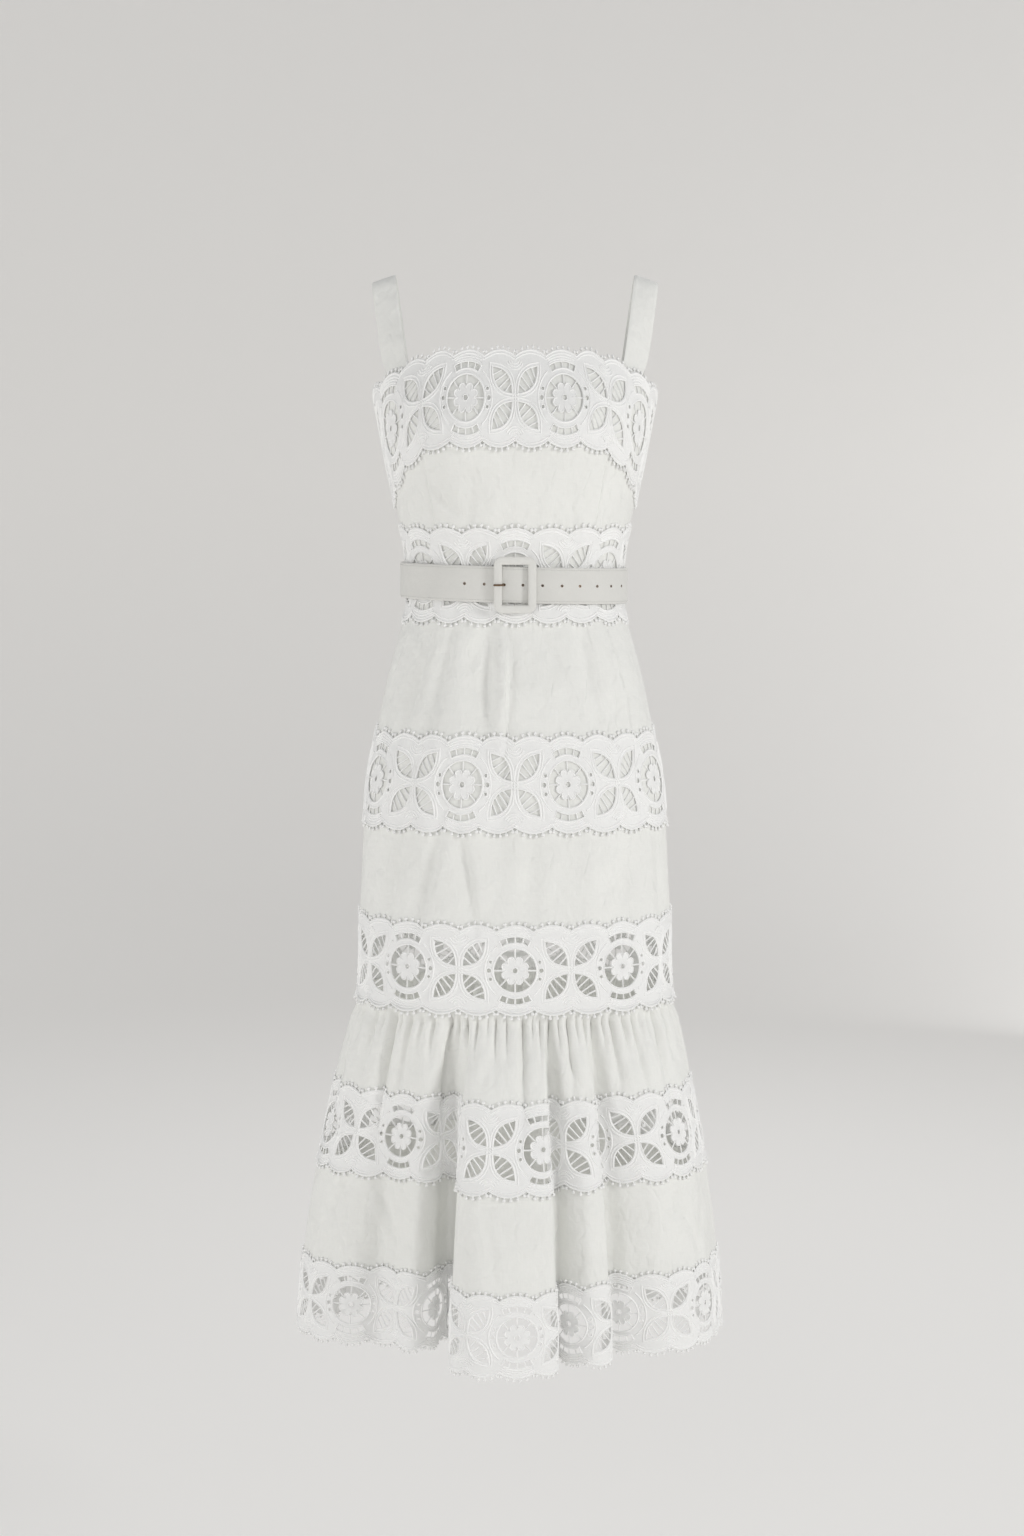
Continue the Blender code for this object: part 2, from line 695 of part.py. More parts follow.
def make_buckle(girth, middle, covered, metal):
    """A covered frame over the belt, a bar behind the lap, and a prong through the hole and over the rail."""
    half_wide = (BUCKLE["wide"] - BUCKLE["rail"]) / 2
    half_tall = (BUCKLE["tall"] - BUCKLE["rail"]) / 2
    half_thick = BUCKLE["thick"] / 2
    front = belt_point(girth + half_wide, middle, BELT["thick"], girth).y - BUCKLE["off_belt"] - half_thick
    route = rounded_rectangle(half_wide, half_tall, BUCKLE["corner"])
    frame = tube("belt_buckle", [(x, 0, z) for x, z in route], BUCKLE["rail"] / 2, covered, closed=True)
    frame.scale.y = BUCKLE["thick"] / BUCKLE["rail"]
    frame.location = (0, front, middle)

    bar_at = belt_point(0, middle, BELT["thick"] / 2, girth).y
    above = (BELT["top"] - BELT["bottom"]) / 2 + 2 * BAR
    to_frame = front + half_thick + BAR + SEAM_GAP
    staple = [(to_frame, above + BAR), (bar_at, above), (bar_at, -above), (to_frame, -above - BAR)]
    tube("buckle_bar", [(0, y, middle + z) for y, z in staple], BAR, metal)

    hole = belt_point(girth + BELT["hole_at"], middle, BELT["thick"], girth)
    over = front - half_thick - PRONG - SEAM_GAP
    rail, bend = BUCKLE["rail"], PRONG
    path = [
        (-BAR - PRONG - SEAM_GAP, bar_at),
        (hole.x + bend, bar_at),
        (hole.x, bar_at - bend),
        (hole.x, hole.y - bend),
    ]
    path += [(-half_wide + across * rail, over + back * MM) for across, back in PRONG_OVER_RAIL]
    tube("belt_prong", [(x, y, middle) for x, y in path], PRONG, metal)


def rounded_rectangle(half_wide, half_tall, corner, steps=3):
    """Points of a rectangle whose corners are quarter circles."""
    points = []
    for turn, (across, up) in enumerate(((1, 1), (-1, 1), (-1, -1), (1, -1))):
        for k in range(steps + 1):
            angle = (turn + k / steps) * math.pi / 2
            x = across * (half_wide - corner) + corner * math.cos(angle)
            points.append((x, up * (half_tall - corner) + corner * math.sin(angle)))
    return points


def tube(name, points, radius, of_material, closed=False):
    """A round rod along straight runs, as a bevelled curve."""
    curve = bpy.data.curves.new(name, "CURVE")
    curve.dimensions = "3D"
    curve.bevel_depth = radius
    curve.bevel_resolution = 2
    curve.use_fill_caps = not closed
    run = curve.splines.new("POLY")
    run.points.add(len(points) - 1)
    for point, at in zip(run.points, points):
        point.co = (*at, 1.0)
    run.use_cyclic_u = closed
    run.use_smooth = True
    curve.materials.append(of_material)
    thing = bpy.data.objects.new(name, curve)
    bpy.context.scene.collection.objects.link(thing)
    return thing


# ---------------------------------------------------------------- the skirt and the flounce


def make_skirt(linen, lace):
    """Two tiers of plain cloth, joined under the hip lace, with the knee lace let in below them."""
    upper = ["waist", "belt_bottom", "waist_lace_bottom", "high_hip", "hip_lace_top", "hip_lace_middle"]
    lower = ["hip_lace_middle", "hip_lace_bottom", "skirt_bottom"]
    knee = ["knee_lace_top", "flounce_top", "knee_lace_bottom"]
    net = even_net(BODY_COLUMNS)
    halves("skirt_upper", upper, net, 0, CLOTH, linen, split_back=True)
    halves("skirt_lower", lower, net, 0, CLOTH, linen)
    halves("knee_lace", knee, even_net(KNEE_COLUMNS), LACE_INSIDE, LACE_OUTSIDE, lace)


def make_flounce(linen, lace):
    """The gathered tier: plain cloth, a lace insertion, plain cloth and a lace hem."""
    upper = ["flounce_top", "below_knee", "flounce_lace_top", "upper_tier_bottom"]
    insertion = ["flounce_lace_top", "upper_tier_bottom", "lower_tier_top", "flounce_lace_bottom"]
    lower = ["lower_tier_top", "flounce_lace_bottom", "hem_lace_top", "lower_tier_bottom"]
    hem = ["hem_lace_top", "lower_tier_bottom", "hem"]
    net = folded_net()
    halves("flounce_upper", upper, net, 0, CLOTH, linen)
    halves("flounce_lace", insertion, net, LACE_INSIDE, LACE_OUTSIDE, lace)
    halves("flounce_lower", lower, net, 0, CLOTH, linen)
    halves("hem_lace", hem, net, LACE_INSIDE, LACE_OUTSIDE, lace)


def main():
    for thing in list(bpy.data.objects):
        bpy.data.objects.remove(thing)
    linen = material("linen", WHITE_CLOTH, 0.85)
    lace = material("lace", WHITE_LACE, 0.9)
    covered = material("belt_cloth", BELT_CLOTH, 0.8)
    bronze = material("bronze", BRONZE, 0.35, 0.9)
    tape = material("zip_tape", WHITE_CLOTH, 0.8)
    steel = material("zip_metal", ZIP_METAL, 0.3, 1.0)
    make_bodice(linen)
    make_body_lace(lace)
    make_strap("strap_right", -1, linen)
    make_strap("strap_left", 1, linen)
    make_zip(tape, steel)
    make_skirt(linen, lace)
    make_flounce(linen, lace)
    make_belt(covered, bronze)


main()
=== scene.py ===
"""The looks of a sleeveless tiered lace midi dress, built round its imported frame.

Every cloth piece starts flat: x runs round the dress, y up it and z out of it, in metres. It is then laid
on a skin, which is the innermost face of the worn dress. The fitted skin goes from the neckline to the knee
seam and the gathered skin from there to the hem. Both repeat the frame's form, with creases and gathers.
"""

import functools
import itertools
import json
import math

import bmesh
import bpy
import numpy as np
from bpy.props import FloatProperty, FloatVectorProperty, PointerProperty
from mathutils import Matrix, Vector

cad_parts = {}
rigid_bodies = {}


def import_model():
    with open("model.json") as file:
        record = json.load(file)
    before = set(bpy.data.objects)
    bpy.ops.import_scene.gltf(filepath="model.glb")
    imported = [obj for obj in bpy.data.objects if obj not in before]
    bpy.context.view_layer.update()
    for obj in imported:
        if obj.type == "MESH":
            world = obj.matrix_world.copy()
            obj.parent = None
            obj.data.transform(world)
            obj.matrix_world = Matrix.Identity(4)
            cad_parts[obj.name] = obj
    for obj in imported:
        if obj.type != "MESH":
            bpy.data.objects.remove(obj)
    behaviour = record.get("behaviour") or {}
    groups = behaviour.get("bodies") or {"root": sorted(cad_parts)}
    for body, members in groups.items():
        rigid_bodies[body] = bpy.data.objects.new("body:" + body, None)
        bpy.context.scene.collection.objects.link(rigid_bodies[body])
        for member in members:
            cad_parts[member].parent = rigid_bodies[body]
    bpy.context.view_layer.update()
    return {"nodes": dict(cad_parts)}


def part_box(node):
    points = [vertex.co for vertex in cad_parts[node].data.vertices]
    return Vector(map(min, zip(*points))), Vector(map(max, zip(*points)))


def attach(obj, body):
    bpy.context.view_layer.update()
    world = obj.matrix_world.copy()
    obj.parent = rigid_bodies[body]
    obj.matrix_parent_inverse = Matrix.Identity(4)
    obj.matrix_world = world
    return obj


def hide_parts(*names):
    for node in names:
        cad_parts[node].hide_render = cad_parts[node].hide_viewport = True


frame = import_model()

bl_info = {
    "name": "Tiered lace dress",
    "version": (1, 0, 0),
    "blender": (4, 5, 0),
    "location": "3D View > Sidebar > Dress",
    "description": "Makes the cloth, lace, belt and zip of a tiered lace midi dress round its frame",
    "category": "Add Mesh",
}

MM = 0.001

# The worn form, as (height, half width, front depth, back depth), in millimetres from the strap crests
SECTIONS = (
    (-60, 140, 88, 86), (-90, 148, 101, 93), (-125, 152, 114, 98), (-160, 146, 124, 99),
    (-190, 140.5, 124, 96), (-220, 134.5, 115, 91), (-260, 126, 102, 84), (-300, 118.2, 89.5, 78.5),
    (-330, 116, 88, 77), (-360, 118.7, 89.3, 80), (-390, 127.5, 95, 91), (-425, 137.5, 101, 104),
    (-480, 150, 110, 120), (-540, 162, 117, 129), (-600, 167.5, 121, 131), (-680, 170.5, 125, 130),
    (-760, 172, 128, 129), (-800, 175, 131, 131),
)
ROUNDNESS = 2.15

# The bust's fullness either side of the centre front
CUP = {"out": 6 * MM, "from_centre": 0.066, "height": -0.165, "wide": 0.040, "tall": 0.042, "fade": 0.050}
SIDE_SEAM = 0.25

# The heights that the two skins cover, and how finely they are stepped
FITTED_REACH = (-0.812, -0.050)
GATHERED_REACH = (-1.174, -0.772)
ROW_STEP = 4 * MM
LAST_CELL = 1.000001
FINE = {"quarter": 257, "shares": 361, "ways": 1441, "each_fold": 24, "waist": 97, "strap": 16}

# Soft troughs of the fitted skirt, as (way round, half width, millimetres deep at the hip, and at the knee)
TROUGHS_DEEPEN = (-0.368, -0.528)
TROUGHS_PASS = (-0.500, -0.700)
TROUGHS_FADE = (-0.610, -0.685)
SKIRT_TROUGHS = (
    (0.060, 0.030, 3.0, 5.0), (0.150, 0.035, 2.0, 4.0), (0.262, 0.030, 2.0, 4.0), (0.372, 0.030, 3.0, 3.5),
    (0.480, 0.026, 4.5, 4.0), (0.560, 0.030, 2.0, 3.0), (0.655, 0.028, 4.0, 4.0), (0.750, 0.030, 2.0, 4.0),
    (0.850, 0.035, 2.5, 5.0), (0.940, 0.030, 3.0, 4.5),
)

# The front of the flounce's hem seen from above, as (way round at the gathered seam, x, y in millimetres)
FRONT_FOLDS = (
    (0.250, -241, 4), (0.283, -234, -34), (0.309, -213, -62), (0.350, -176, -77), (0.376, -149, -75),
    (0.390, -134, -84), (0.411, -110, -105), (0.4225, -93, -94), (0.429, -85, -72), (0.435, -75, -60),
    (0.440, -64, -70), (0.4455, -63, -102), (0.451, -68, -138), (0.457, -64, -174), (0.469, -44, -192),
    (0.4905, -12, -199), (0.517, 22, -195), (0.530, 42, -179), (0.534, 42, -158), (0.5375, 37, -143),
    (0.5415, 47, -137), (0.5485, 62, -150), (0.5635, 84, -159), (0.5775, 101, -146), (0.582, 98, -124),
    (0.5862, 93, -109), (0.592, 105, -102), (0.6025, 126, -109), (0.6275, 156, -111), (0.656, 186, -97),
    (0.6875, 211, -66), (0.725, 225, -24), (0.750, 229, 10),
)

# The back's folds are even: how deep, as a share of the way out, and how far back the hem is
BACK_FOLDS = {"count": 8, "deep": 0.22, "reach": 0.186, "columns_each": 4}

# The folds open out from here to the hem, fastest at first
FOLDS_START = -0.797
HEM = -1.166
HEM_SPREAD = 1.65

# The front's gathers under the knee seam, as (way round, millimetres deep, half width, length down)
GATHERS = (
    (0.262, 3.0, 2.6, 60), (0.276, 6.0, 4.4, 170), (0.300, 3.0, 2.6, 45), (0.328, 4.0, 3.0, 70),
    (0.342, 2.6, 2.2, 35), (0.356, 6.5, 4.2, 190), (0.367, 3.0, 2.2, 40), (0.380, 4.0, 3.0, 85),
    (0.395, 2.8, 2.6, 55), (0.409, 3.6, 2.8, 60), (0.4285, 6.5, 3.8, 200), (0.438, 4.0, 2.2, 60),
    (0.447, 4.4, 2.6, 95), (0.4585, 4.0, 2.4, 50), (0.470, 2.4, 2.0, 30), (0.479, 4.2, 2.6, 75),
    (0.491, 3.4, 2.2, 55), (0.5086, 6.0, 3.6, 150), (0.519, 3.0, 2.0, 40), (0.527, 4.0, 2.4, 65),
    (0.5385, 6.5, 3.4, 200), (0.548, 3.6, 2.0, 50), (0.558, 5.0, 3.0, 110), (0.568, 3.0, 2.0, 40),
    (0.5775, 4.0, 2.6, 60), (0.5885, 6.5, 3.6, 190), (0.599, 3.4, 2.2, 50), (0.610, 5.0, 3.0, 100),
    (0.6255, 4.0, 2.6, 60), (0.639, 4.6, 3.0, 85), (0.648, 3.0, 2.0, 40), (0.660, 3.0, 2.4, 45),
    (0.672, 5.0, 3.4, 120), (0.692, 4.0, 2.8, 70), (0.712, 3.4, 2.6, 50), (0.730, 5.0, 3.4, 110),
)
GATHERED_GIRTH = 0.978

# A gather is made so much deeper and, at the seam and further down, wider; its sides are round and it fades
GATHER = {"deepen": 2.2, "widen": (1.3, 1.6), "edge": 1.6, "fade": 0.7}
GATHERS_OPEN = (-0.783, -0.799)

# The cloth between the gathers puffs out, between these heights
PUFF = {"out": 3.4 * MM, "from": -0.793, "full": -0.812, "fades": -0.840, "gone": -0.930}

# The back's gathers are spread by chance; each size is (least, how much more)
BACK_GATHERS = {"seed": 7, "count": 38, "from": 0.757, "reach": 0.488, "stray": 0.3}
BACK_GATHER_SIZES = ((3, 3.5), (2.2, 2), (40, 150))

# Soft creases, as (way round, height, half length, turn from level in degrees, width on the side towards the
# wearer's right or below, width on the other side, depth), in millimetres; a ridge has a depth below 0
CREASES = (
    (0.612, -232, 30, 62, 6, 6, 2.8), (0.392, -236, 28, -60, 5, 5, 2.8), (0.408, -246, 24, -40, 5, 5, 2.4),
    (0.435, -240, 30, 78, 7, 7, 2.1), (0.470, -250, 35, 82, 8, 8, -1.8), (0.510, -236, 22, 24, 4, 4, 0.8),
    (0.545, -245, 30, 96, 9, 9, -1.8), (0.585, -250, 26, 108, 6, 6, 2.1),
    (0.486, -442, 62, 89, 15, 3.2, -8.5), (0.461, -442, 70, 90, 14, 11, 8), (0.440, -400, 30, 60, 7, 7, 2.8),
    (0.560, -405, 35, 118, 7, 7, 3.2), (0.610, -430, 60, 94, 14, 10, 5.8),
    (0.655, -440, 65, 95, 13, 3.5, -7), (0.395, -430, 60, 84, 12, 8, 5.3), (0.355, -440, 60, 80, 12, 6, 5.6),
    (0.440, -450, 40, 95, 8, 6, 3.2), (0.300, -470, 60, 90, 8, 8, 3.2), (0.352, -640, 55, 84, 12, 6, 6.5),
    (0.400, -635, 55, 78, 12, 6, 7), (0.445, -640, 55, 100, 12, 5, 6), (0.475, -665, 30, 64, 5, 5, 2.1),
    (0.520, -640, 55, 84, 12, 8, 5), (0.560, -660, 30, 120, 5, 5, 2.1), (0.590, -650, 40, 96, 7, 7, -2.4),
    (0.635, -645, 50, 86, 12, 8, 6.2), (0.690, -640, 50, 92, 8, 8, 3.2), (0.200, -450, 60, 84, 9, 9, 3.2),
    (0.120, -430, 50, 70, 8, 4, 4.9), (0.880, -430, 50, 110, 4, 8, 4.9), (0.800, -460, 60, 96, 9, 9, 3.2),
    (0.080, -650, 50, 92, 8, 8, 2.8), (0.150, -640, 40, 78, 6, 8, 3.2), (0.910, -640, 50, 86, 8, 8, 2.8),
    (0.820, -650, 40, 102, 8, 6, 3.2), (0.040, -240, 25, 60, 6, 6, 2.4), (0.960, -240, 25, 120, 6, 6, 2.4),
)
FLOUNCE_CREASES = (
    (0.318, -1000, 35, 60, 7, 7, 3.5), (0.300, -930, 40, 80, 7, 7, 2.6), (0.380, -1015, 30, 120, 6, 6, 2.6),
    (0.480, -1030, 40, 100, 6, 6, 2.9), (0.500, -850, 28, 118, 4.5, 4.5, 2.2),
    (0.492, -860, 26, 112, 4, 4, 1.8), (0.512, -842, 22, 62, 4, 4, 1.8), (0.470, -850, 30, 78, 5, 5, 1.9),
    (0.560, -845, 26, 118, 4, 4, 2.1), (0.575, -860, 26, 66, 4, 4, 1.8), (0.662, -995, 26, 22, 4, 4, 2.6),
    (0.655, -1004, 20, 200, 4, 4, 2.2), (0.670, -1020, 45, 120, 7, 7, 2.9),
    (0.690, -1045, 40, 62, 8, 8, 2.9), (0.640, -860, 30, 104, 5, 5, 2.1), (0.060, -1010, 35, 70, 7, 7, 2.9),
    (0.180, -1000, 35, 110, 7, 7, 2.9), (0.820, -1010, 35, 64, 7, 7, 2.9),
    (0.930, -1000, 35, 116, 7, 7, 2.9), (0.120, -860, 28, 100, 5, 5, 2.1), (0.880, -860, 28, 80, 5, 5, 2.1),
)
CREASE_BEND = 0.03

# The girths at which a share of the way round is turned into a distance
FITTED_GIRTH = 0.9
FLOUNCE_GIRTH = 1.4 * GATHERED_GIRTH

# The bodice's edges fall from their height in front by (at the side, at the back)
NECK_LEVEL_TO = 0.085
BACK_LEVEL_FROM = 0.370
EDGES = {
    "bust_lace_top": (-0.0765, 0.040, 0.044),
    "bodice_top": (-0.092, 0.040, 0.044),
    "bust_lace_bottom": (-0.189, 0.060, 0.046),
}


def ease(x, start, end):
    """Rises smoothly from 0 at the start to 1 at the end, which may be the lower of the two."""
    x = np.clip((x - start) / (end - start), 0.0, 1.0)
    return x * x * (3.0 - 2.0 * x)


def apart(ways, way):
    """How far places are from one way round, the shorter way."""
    return (ways - way + 0.5) % 1.0 - 0.5


def distances(points):
    """How far along a line each of its points is."""
    return np.concatenate([[0], np.cumsum(np.linalg.norm(np.diff(points, axis=0), axis=1))])


def smooth_through(at, knots, values):
    """A smooth curve through a table's values at increasing knots."""
    i = np.clip(np.searchsorted(knots, at) - 1, 0, len(knots) - 2)
    slopes = np.gradient(values, knots, axis=0)
    step = (knots[i + 1] - knots[i])[:, None]
    t = (at[:, None] - knots[i][:, None]) / step
    rise = (t**3 - 2 * t**2 + t) * step * slopes[i] + (t**3 - t**2) * step * slopes[i + 1]
    return (2 * t**3 - 3 * t**2 + 1) * values[i] + (3 * t**2 - 2 * t**3) * values[i + 1] + rise


# ---------------------------------------------------------------- the skins


class Skin:
    """The innermost face of the cloth as a grid, a row for each height and a column for each place round."""

    def __init__(self, places, heights, points):
        self.places = places
        self.heights = heights
        self.points = points
        along = np.gradient(points, axis=1)
        along[:, 0] = along[:, -1] = points[:, 1] - points[:, -2]
        up = np.gradient(points, heights, axis=0)
        normals = np.cross(along, up)
        self.normals = normals / np.linalg.norm(normals, axis=2, keepdims=True)

    def lengths(self, height):
        """How far round each column is at a height, in metres."""
        row = int(np.argmin(np.abs(self.heights - height)))
        return distances(self.points[row])

    def at(self, place, height, out):
        """Points that stand out from the skin."""
        whole = self.places[-1] - self.places[0]
        turned = (place - self.places[0]) % whole
        turned = np.where((turned == 0) & (place > self.places[0]), whole, turned)
        i = np.clip(turned / whole * (len(self.places) - 1), 0, len(self.places) - LAST_CELL)
        rise = self.heights[1] - self.heights[0]
        j = np.clip((height - self.heights[0]) / rise, 0, len(self.heights) - LAST_CELL)
        i0, j0 = i.astype(int), j.astype(int)
        s, t = (i - i0)[:, None], (j - j0)[:, None]
        found = []
        for grid in (self.points, self.normals):
            low = grid[j0, i0] * (1 - s) + grid[j0, i0 + 1] * s
            high = grid[j0 + 1, i0] * (1 - s) + grid[j0 + 1, i0 + 1] * s
            found.append(low * (1 - t) + high * t)
        points, normals = found
        points[:, 2] = height
        return points + normals * out[:, None]


def quarter(half_width, depth, count):
    """Even steps along a quarter section, from its centre to its side."""
    angle = np.linspace(0, math.pi / 2, FINE["quarter"])
    across = half_width * np.sin(angle) ** (2 / ROUNDNESS)
    out = depth * np.cos(angle) ** (2 / ROUNDNESS)
    along = distances(np.column_stack([across, out]))
    at = np.linspace(0, along[-1], count)
    return np.interp(at, along, across), np.interp(at, along, out)


def trough_depth(ways, z):
    """How deep the skirt's troughs are at a height."""
    spans = (TROUGHS_DEEPEN, TROUGHS_PASS, TROUGHS_FADE)
    below_waist, to_knee, faded = (ease(z, *span) for span in spans)
    depth = np.zeros_like(ways)
    for centre, half, at_hip, at_knee in SKIRT_TROUGHS:
        off = np.minimum(np.abs(apart(ways, centre)) / half, 1.0)
        depth += (at_hip + (at_knee - at_hip) * to_knee) * (1 + np.cos(math.pi * off)) / 2
    return depth * below_waist * (1 - faded) * MM


def fitted_ring(ways, z):
    """Points all round the fitted part at a height."""
    rows = np.array(SECTIONS)[::-1] * MM
    half_width, front, back = smooth_through(np.array([max(z, rows[0, 0])]), rows[:, 0], rows[:, 1:])[0]
    shares = np.linspace(0, 1, FINE["shares"])
    from_front = np.abs(ways % 1.0 - 0.5)
    ahead = from_front <= SIDE_SEAM
    to_side = np.where(ahead, from_front, 0.5 - from_front) / SIDE_SEAM
    lines = zip(*(quarter(half_width, depth, len(shares)) for depth in (front, back)))
    across, out = (np.where(ahead, *(np.interp(to_side, shares, line) for line in pair)) for pair in lines)
    in_by = trough_depth(ways, z) / np.hypot(across / half_width**2, out / back**2)
    x = across - in_by * across / half_width**2
    y = out - in_by * out / back**2
    cup_across = (across - CUP["from_centre"]) / CUP["wide"]
    cup_up = (z - CUP["height"]) / CUP["tall"]
    y = y + CUP["out"] * np.exp(-(cup_across**2) - cup_up**2) * ease(out, 0, CUP["fade"]) * ahead
    return np.where(ways % 1.0 < 0.5, -x, x), np.where(ahead, -y, y)


@functools.lru_cache
def fitted_skin():
    """The fitted part. A place is a share of the way round: 0 at the centre back, 0.5 at the centre front."""
    ways = np.linspace(0, 1, FINE["ways"])
    heights = np.arange(*FITTED_REACH, ROW_STEP)
    points = np.array([np.column_stack([*fitted_ring(ways, z), np.full_like(ways, z)]) for z in heights])
    return Skin(ways, heights, creased(ways, heights, points))


def crease_depth(creases, along, up, girth):
    """How far a table's creases go in, at ways round and heights."""
    depth = np.zeros_like(up)
    for way, height, half_length, turn, before, after, deep in creases:
        c, s = math.cos(math.radians(turn)), math.sin(math.radians(turn))
        dx, dy = apart(along, way) * girth / MM, up / MM - height
        far, aside = dx * c + dy * s, dx * s - dy * c
        aside += CREASE_BEND * far**2 / half_length
        width = np.where(aside < 0, before, after)
        depth += deep * MM * np.exp(-((far / half_length) ** 2) - (aside / width) ** 2)
    return depth


def creased(ways, heights, points):
    """The fitted skin with its listed creases pressed in."""
    facing = points * (1, 1, 0)
    facing /= np.linalg.norm(facing, axis=2, keepdims=True)
    return points - facing * crease_depth(CREASES, *np.meshgrid(ways, heights), FITTED_GIRTH)[:, :, None]


@functools.lru_cache
def gathered_skin():
    """The flounce. A place is a row of the fold table, counted from the right side seam."""
    front = np.array(FRONT_FOLDS) * (1, MM, MM)
    middle = (front[0, 1:] + front[-1, 1:]) / 2
    half_width = (front[-1, 1] - front[0, 1]) / 2
    columns = BACK_FOLDS["count"] * BACK_FOLDS["columns_each"]
    share = (np.arange(columns) + 0.5) / columns
    fold = 1 - BACK_FOLDS["deep"] * (1 - np.cos(2 * math.pi * BACK_FOLDS["count"] * share)) / 2
    x = middle[0] + half_width * np.cos(math.pi * share) * fold
    y = middle[1] + BACK_FOLDS["reach"] * np.sin(math.pi * share) * fold
    back = np.column_stack([1 - SIDE_SEAM + 2 * SIDE_SEAM * share, x, y])
    rows = np.vstack([front, back])

    # A few rows repeat past both ends, so that the curve closes smoothly
    run = np.vstack([rows[-3:] - (1, 0, 0), rows, rows[:4] + (1, 0, 0)])
    knots = distances(run[:, 1:])
    places = np.linspace(0, len(rows), FINE["each_fold"] * len(rows) + 1)
    hem = smooth_through(np.interp(places + 3, np.arange(len(run)), knots), knots, run)
    ways = hem[:, 0]
    heights = np.arange(*GATHERED_REACH, ROW_STEP)
    points = []
    for z in heights:
        top = np.column_stack(fitted_ring(ways, max(z, FOLDS_START)))
        down = np.clip((FOLDS_START - z) / (FOLDS_START - HEM), 0, 1)
        opened = 1 - (1 - down) ** HEM_SPREAD
        points.append(np.column_stack([top + (hem[:, 1:] - top) * opened, np.full_like(ways, z)]))
    return Skin(places, heights, gathered(ways, heights, np.array(points)))


def all_gathers():
    """The front's gathers with others like them round the back."""
    count, stray = BACK_GATHERS["count"], BACK_GATHERS["stray"]
    chance = np.random.default_rng(BACK_GATHERS["seed"])
    steps = np.arange(count) + chance.uniform(-stray, stray, count)
    ways = (BACK_GATHERS["from"] + steps * BACK_GATHERS["reach"] / count) % 1.0
    size = chance.uniform(0, 1, count) ** 2
    return [*GATHERS, *zip(ways, *(least + more * size for least, more in BACK_GATHER_SIZES))]


def gathered(ways, heights, points):
    """The flounce with its gathers: sharp valleys that fade below the seam, in cloth that puffs out."""
    plain = Skin(np.linspace(0, 1, len(ways)), heights, points)
    along, up = np.meshgrid(ways % 1.0, heights)
    out = PUFF["out"] * ease(up, PUFF["from"], PUFF["full"]) * (1 - ease(up, PUFF["fades"], PUFF["gone"]))
    opened = ease(up, *GATHERS_OPEN)
    at_seam, further = GATHER["widen"]
    for way, deep, half_width, length in all_gathers():
        down = (GATHERS_OPEN[1] - up) / (length * MM)
        spread = half_width * MM * (at_seam + further * np.clip(down, 0, 1))
        aside = np.abs(apart(along, way)) * GATHERED_GIRTH / spread
        valley = np.exp(-(aside ** GATHER["edge"])) * opened * (1 - ease(down, 0, 1)) ** GATHER["fade"]
        out -= GATHER["deepen"] * deep * MM * valley
    out -= crease_depth(FLOUNCE_CREASES, along, up, FLOUNCE_GIRTH)
    return points + plain.normals * out[:, :, None]


def edge_height(edge, way):
    """The height of one of the bodice's falling edges."""
    in_front, at_side, at_back = EDGES[edge]
    from_front = np.abs(way % 1.0 - 0.5)
    to_side = ease(from_front, NECK_LEVEL_TO, SIDE_SEAM)
    to_back = ease(from_front, SIDE_SEAM, BACK_LEVEL_FROM)
    return in_front - at_side * to_side - (at_back - at_side) * to_back


class Ring:
    """A level ring of cloth: its skin, its edges, and how far round it each place of the skin is."""

    def __init__(self, skin, low, high, centre):
        self.skin = skin
        self.low, self.high = low, high
        middle = np.mean([np.mean(edge(skin.places)) for edge in (low, high)])
        self.round = skin.lengths(middle)
        self.round -= np.interp(centre, skin.places, self.round)
        self.girth = self.round[-1] - self.round[0]

    def distance(self, place):
        """Metres round from the centre front, for a place that may be past the skin's end."""
        whole = self.skin.places[-1] - self.skin.places[0]
        turns = math.floor((place - self.skin.places[0]) / whole - 1e-9)
        return float(np.interp(place - turns * whole, self.skin.places, self.round)) + turns * self.girth

    def span(self, first, last, gap):
        """The start and end of a piece between two places, each half a seam gap in."""
        return self.distance(first) + gap / 2, self.distance(last) - gap / 2

    def lay(self, flat, tall):
        """Lays flat points, whose y runs from -tall / 2 to tall / 2, between the ring's edges."""
        turned = (flat[:, 0] - self.round[0]) % self.girth + self.round[0]
        place = np.interp(turned, self.round, self.skin.places)
        low, high = self.low(place), self.high(place)
        height = low + (flat[:, 1] / tall + 0.5) * (high - low)
        return self.skin.at(place, height, flat[:, 2])

    def height(self, start, end):
        """The mean length of cloth between the ring's edges, over a stretch round it."""
        flat = np.linspace((start, -0.5, 0), (end, -0.5, 0), 90)
        return float(np.mean(np.linalg.norm(self.lay(flat + (0, 1, 0), 1) - self.lay(flat, 1), axis=1)))


def level(height):
    return lambda place: np.full_like(np.asarray(place, float), height)


def falling(edge):
    return lambda place: edge_height(edge, place)


# ---------------------------------------------------------------- meshes

# An edge is drawn sharp where its faces turn by more degrees than this
SHARP = 50.0


def add_object(name, data):
    made = bpy.data.objects.new(name, data)
    bpy.context.scene.collection.objects.link(made)
    return made


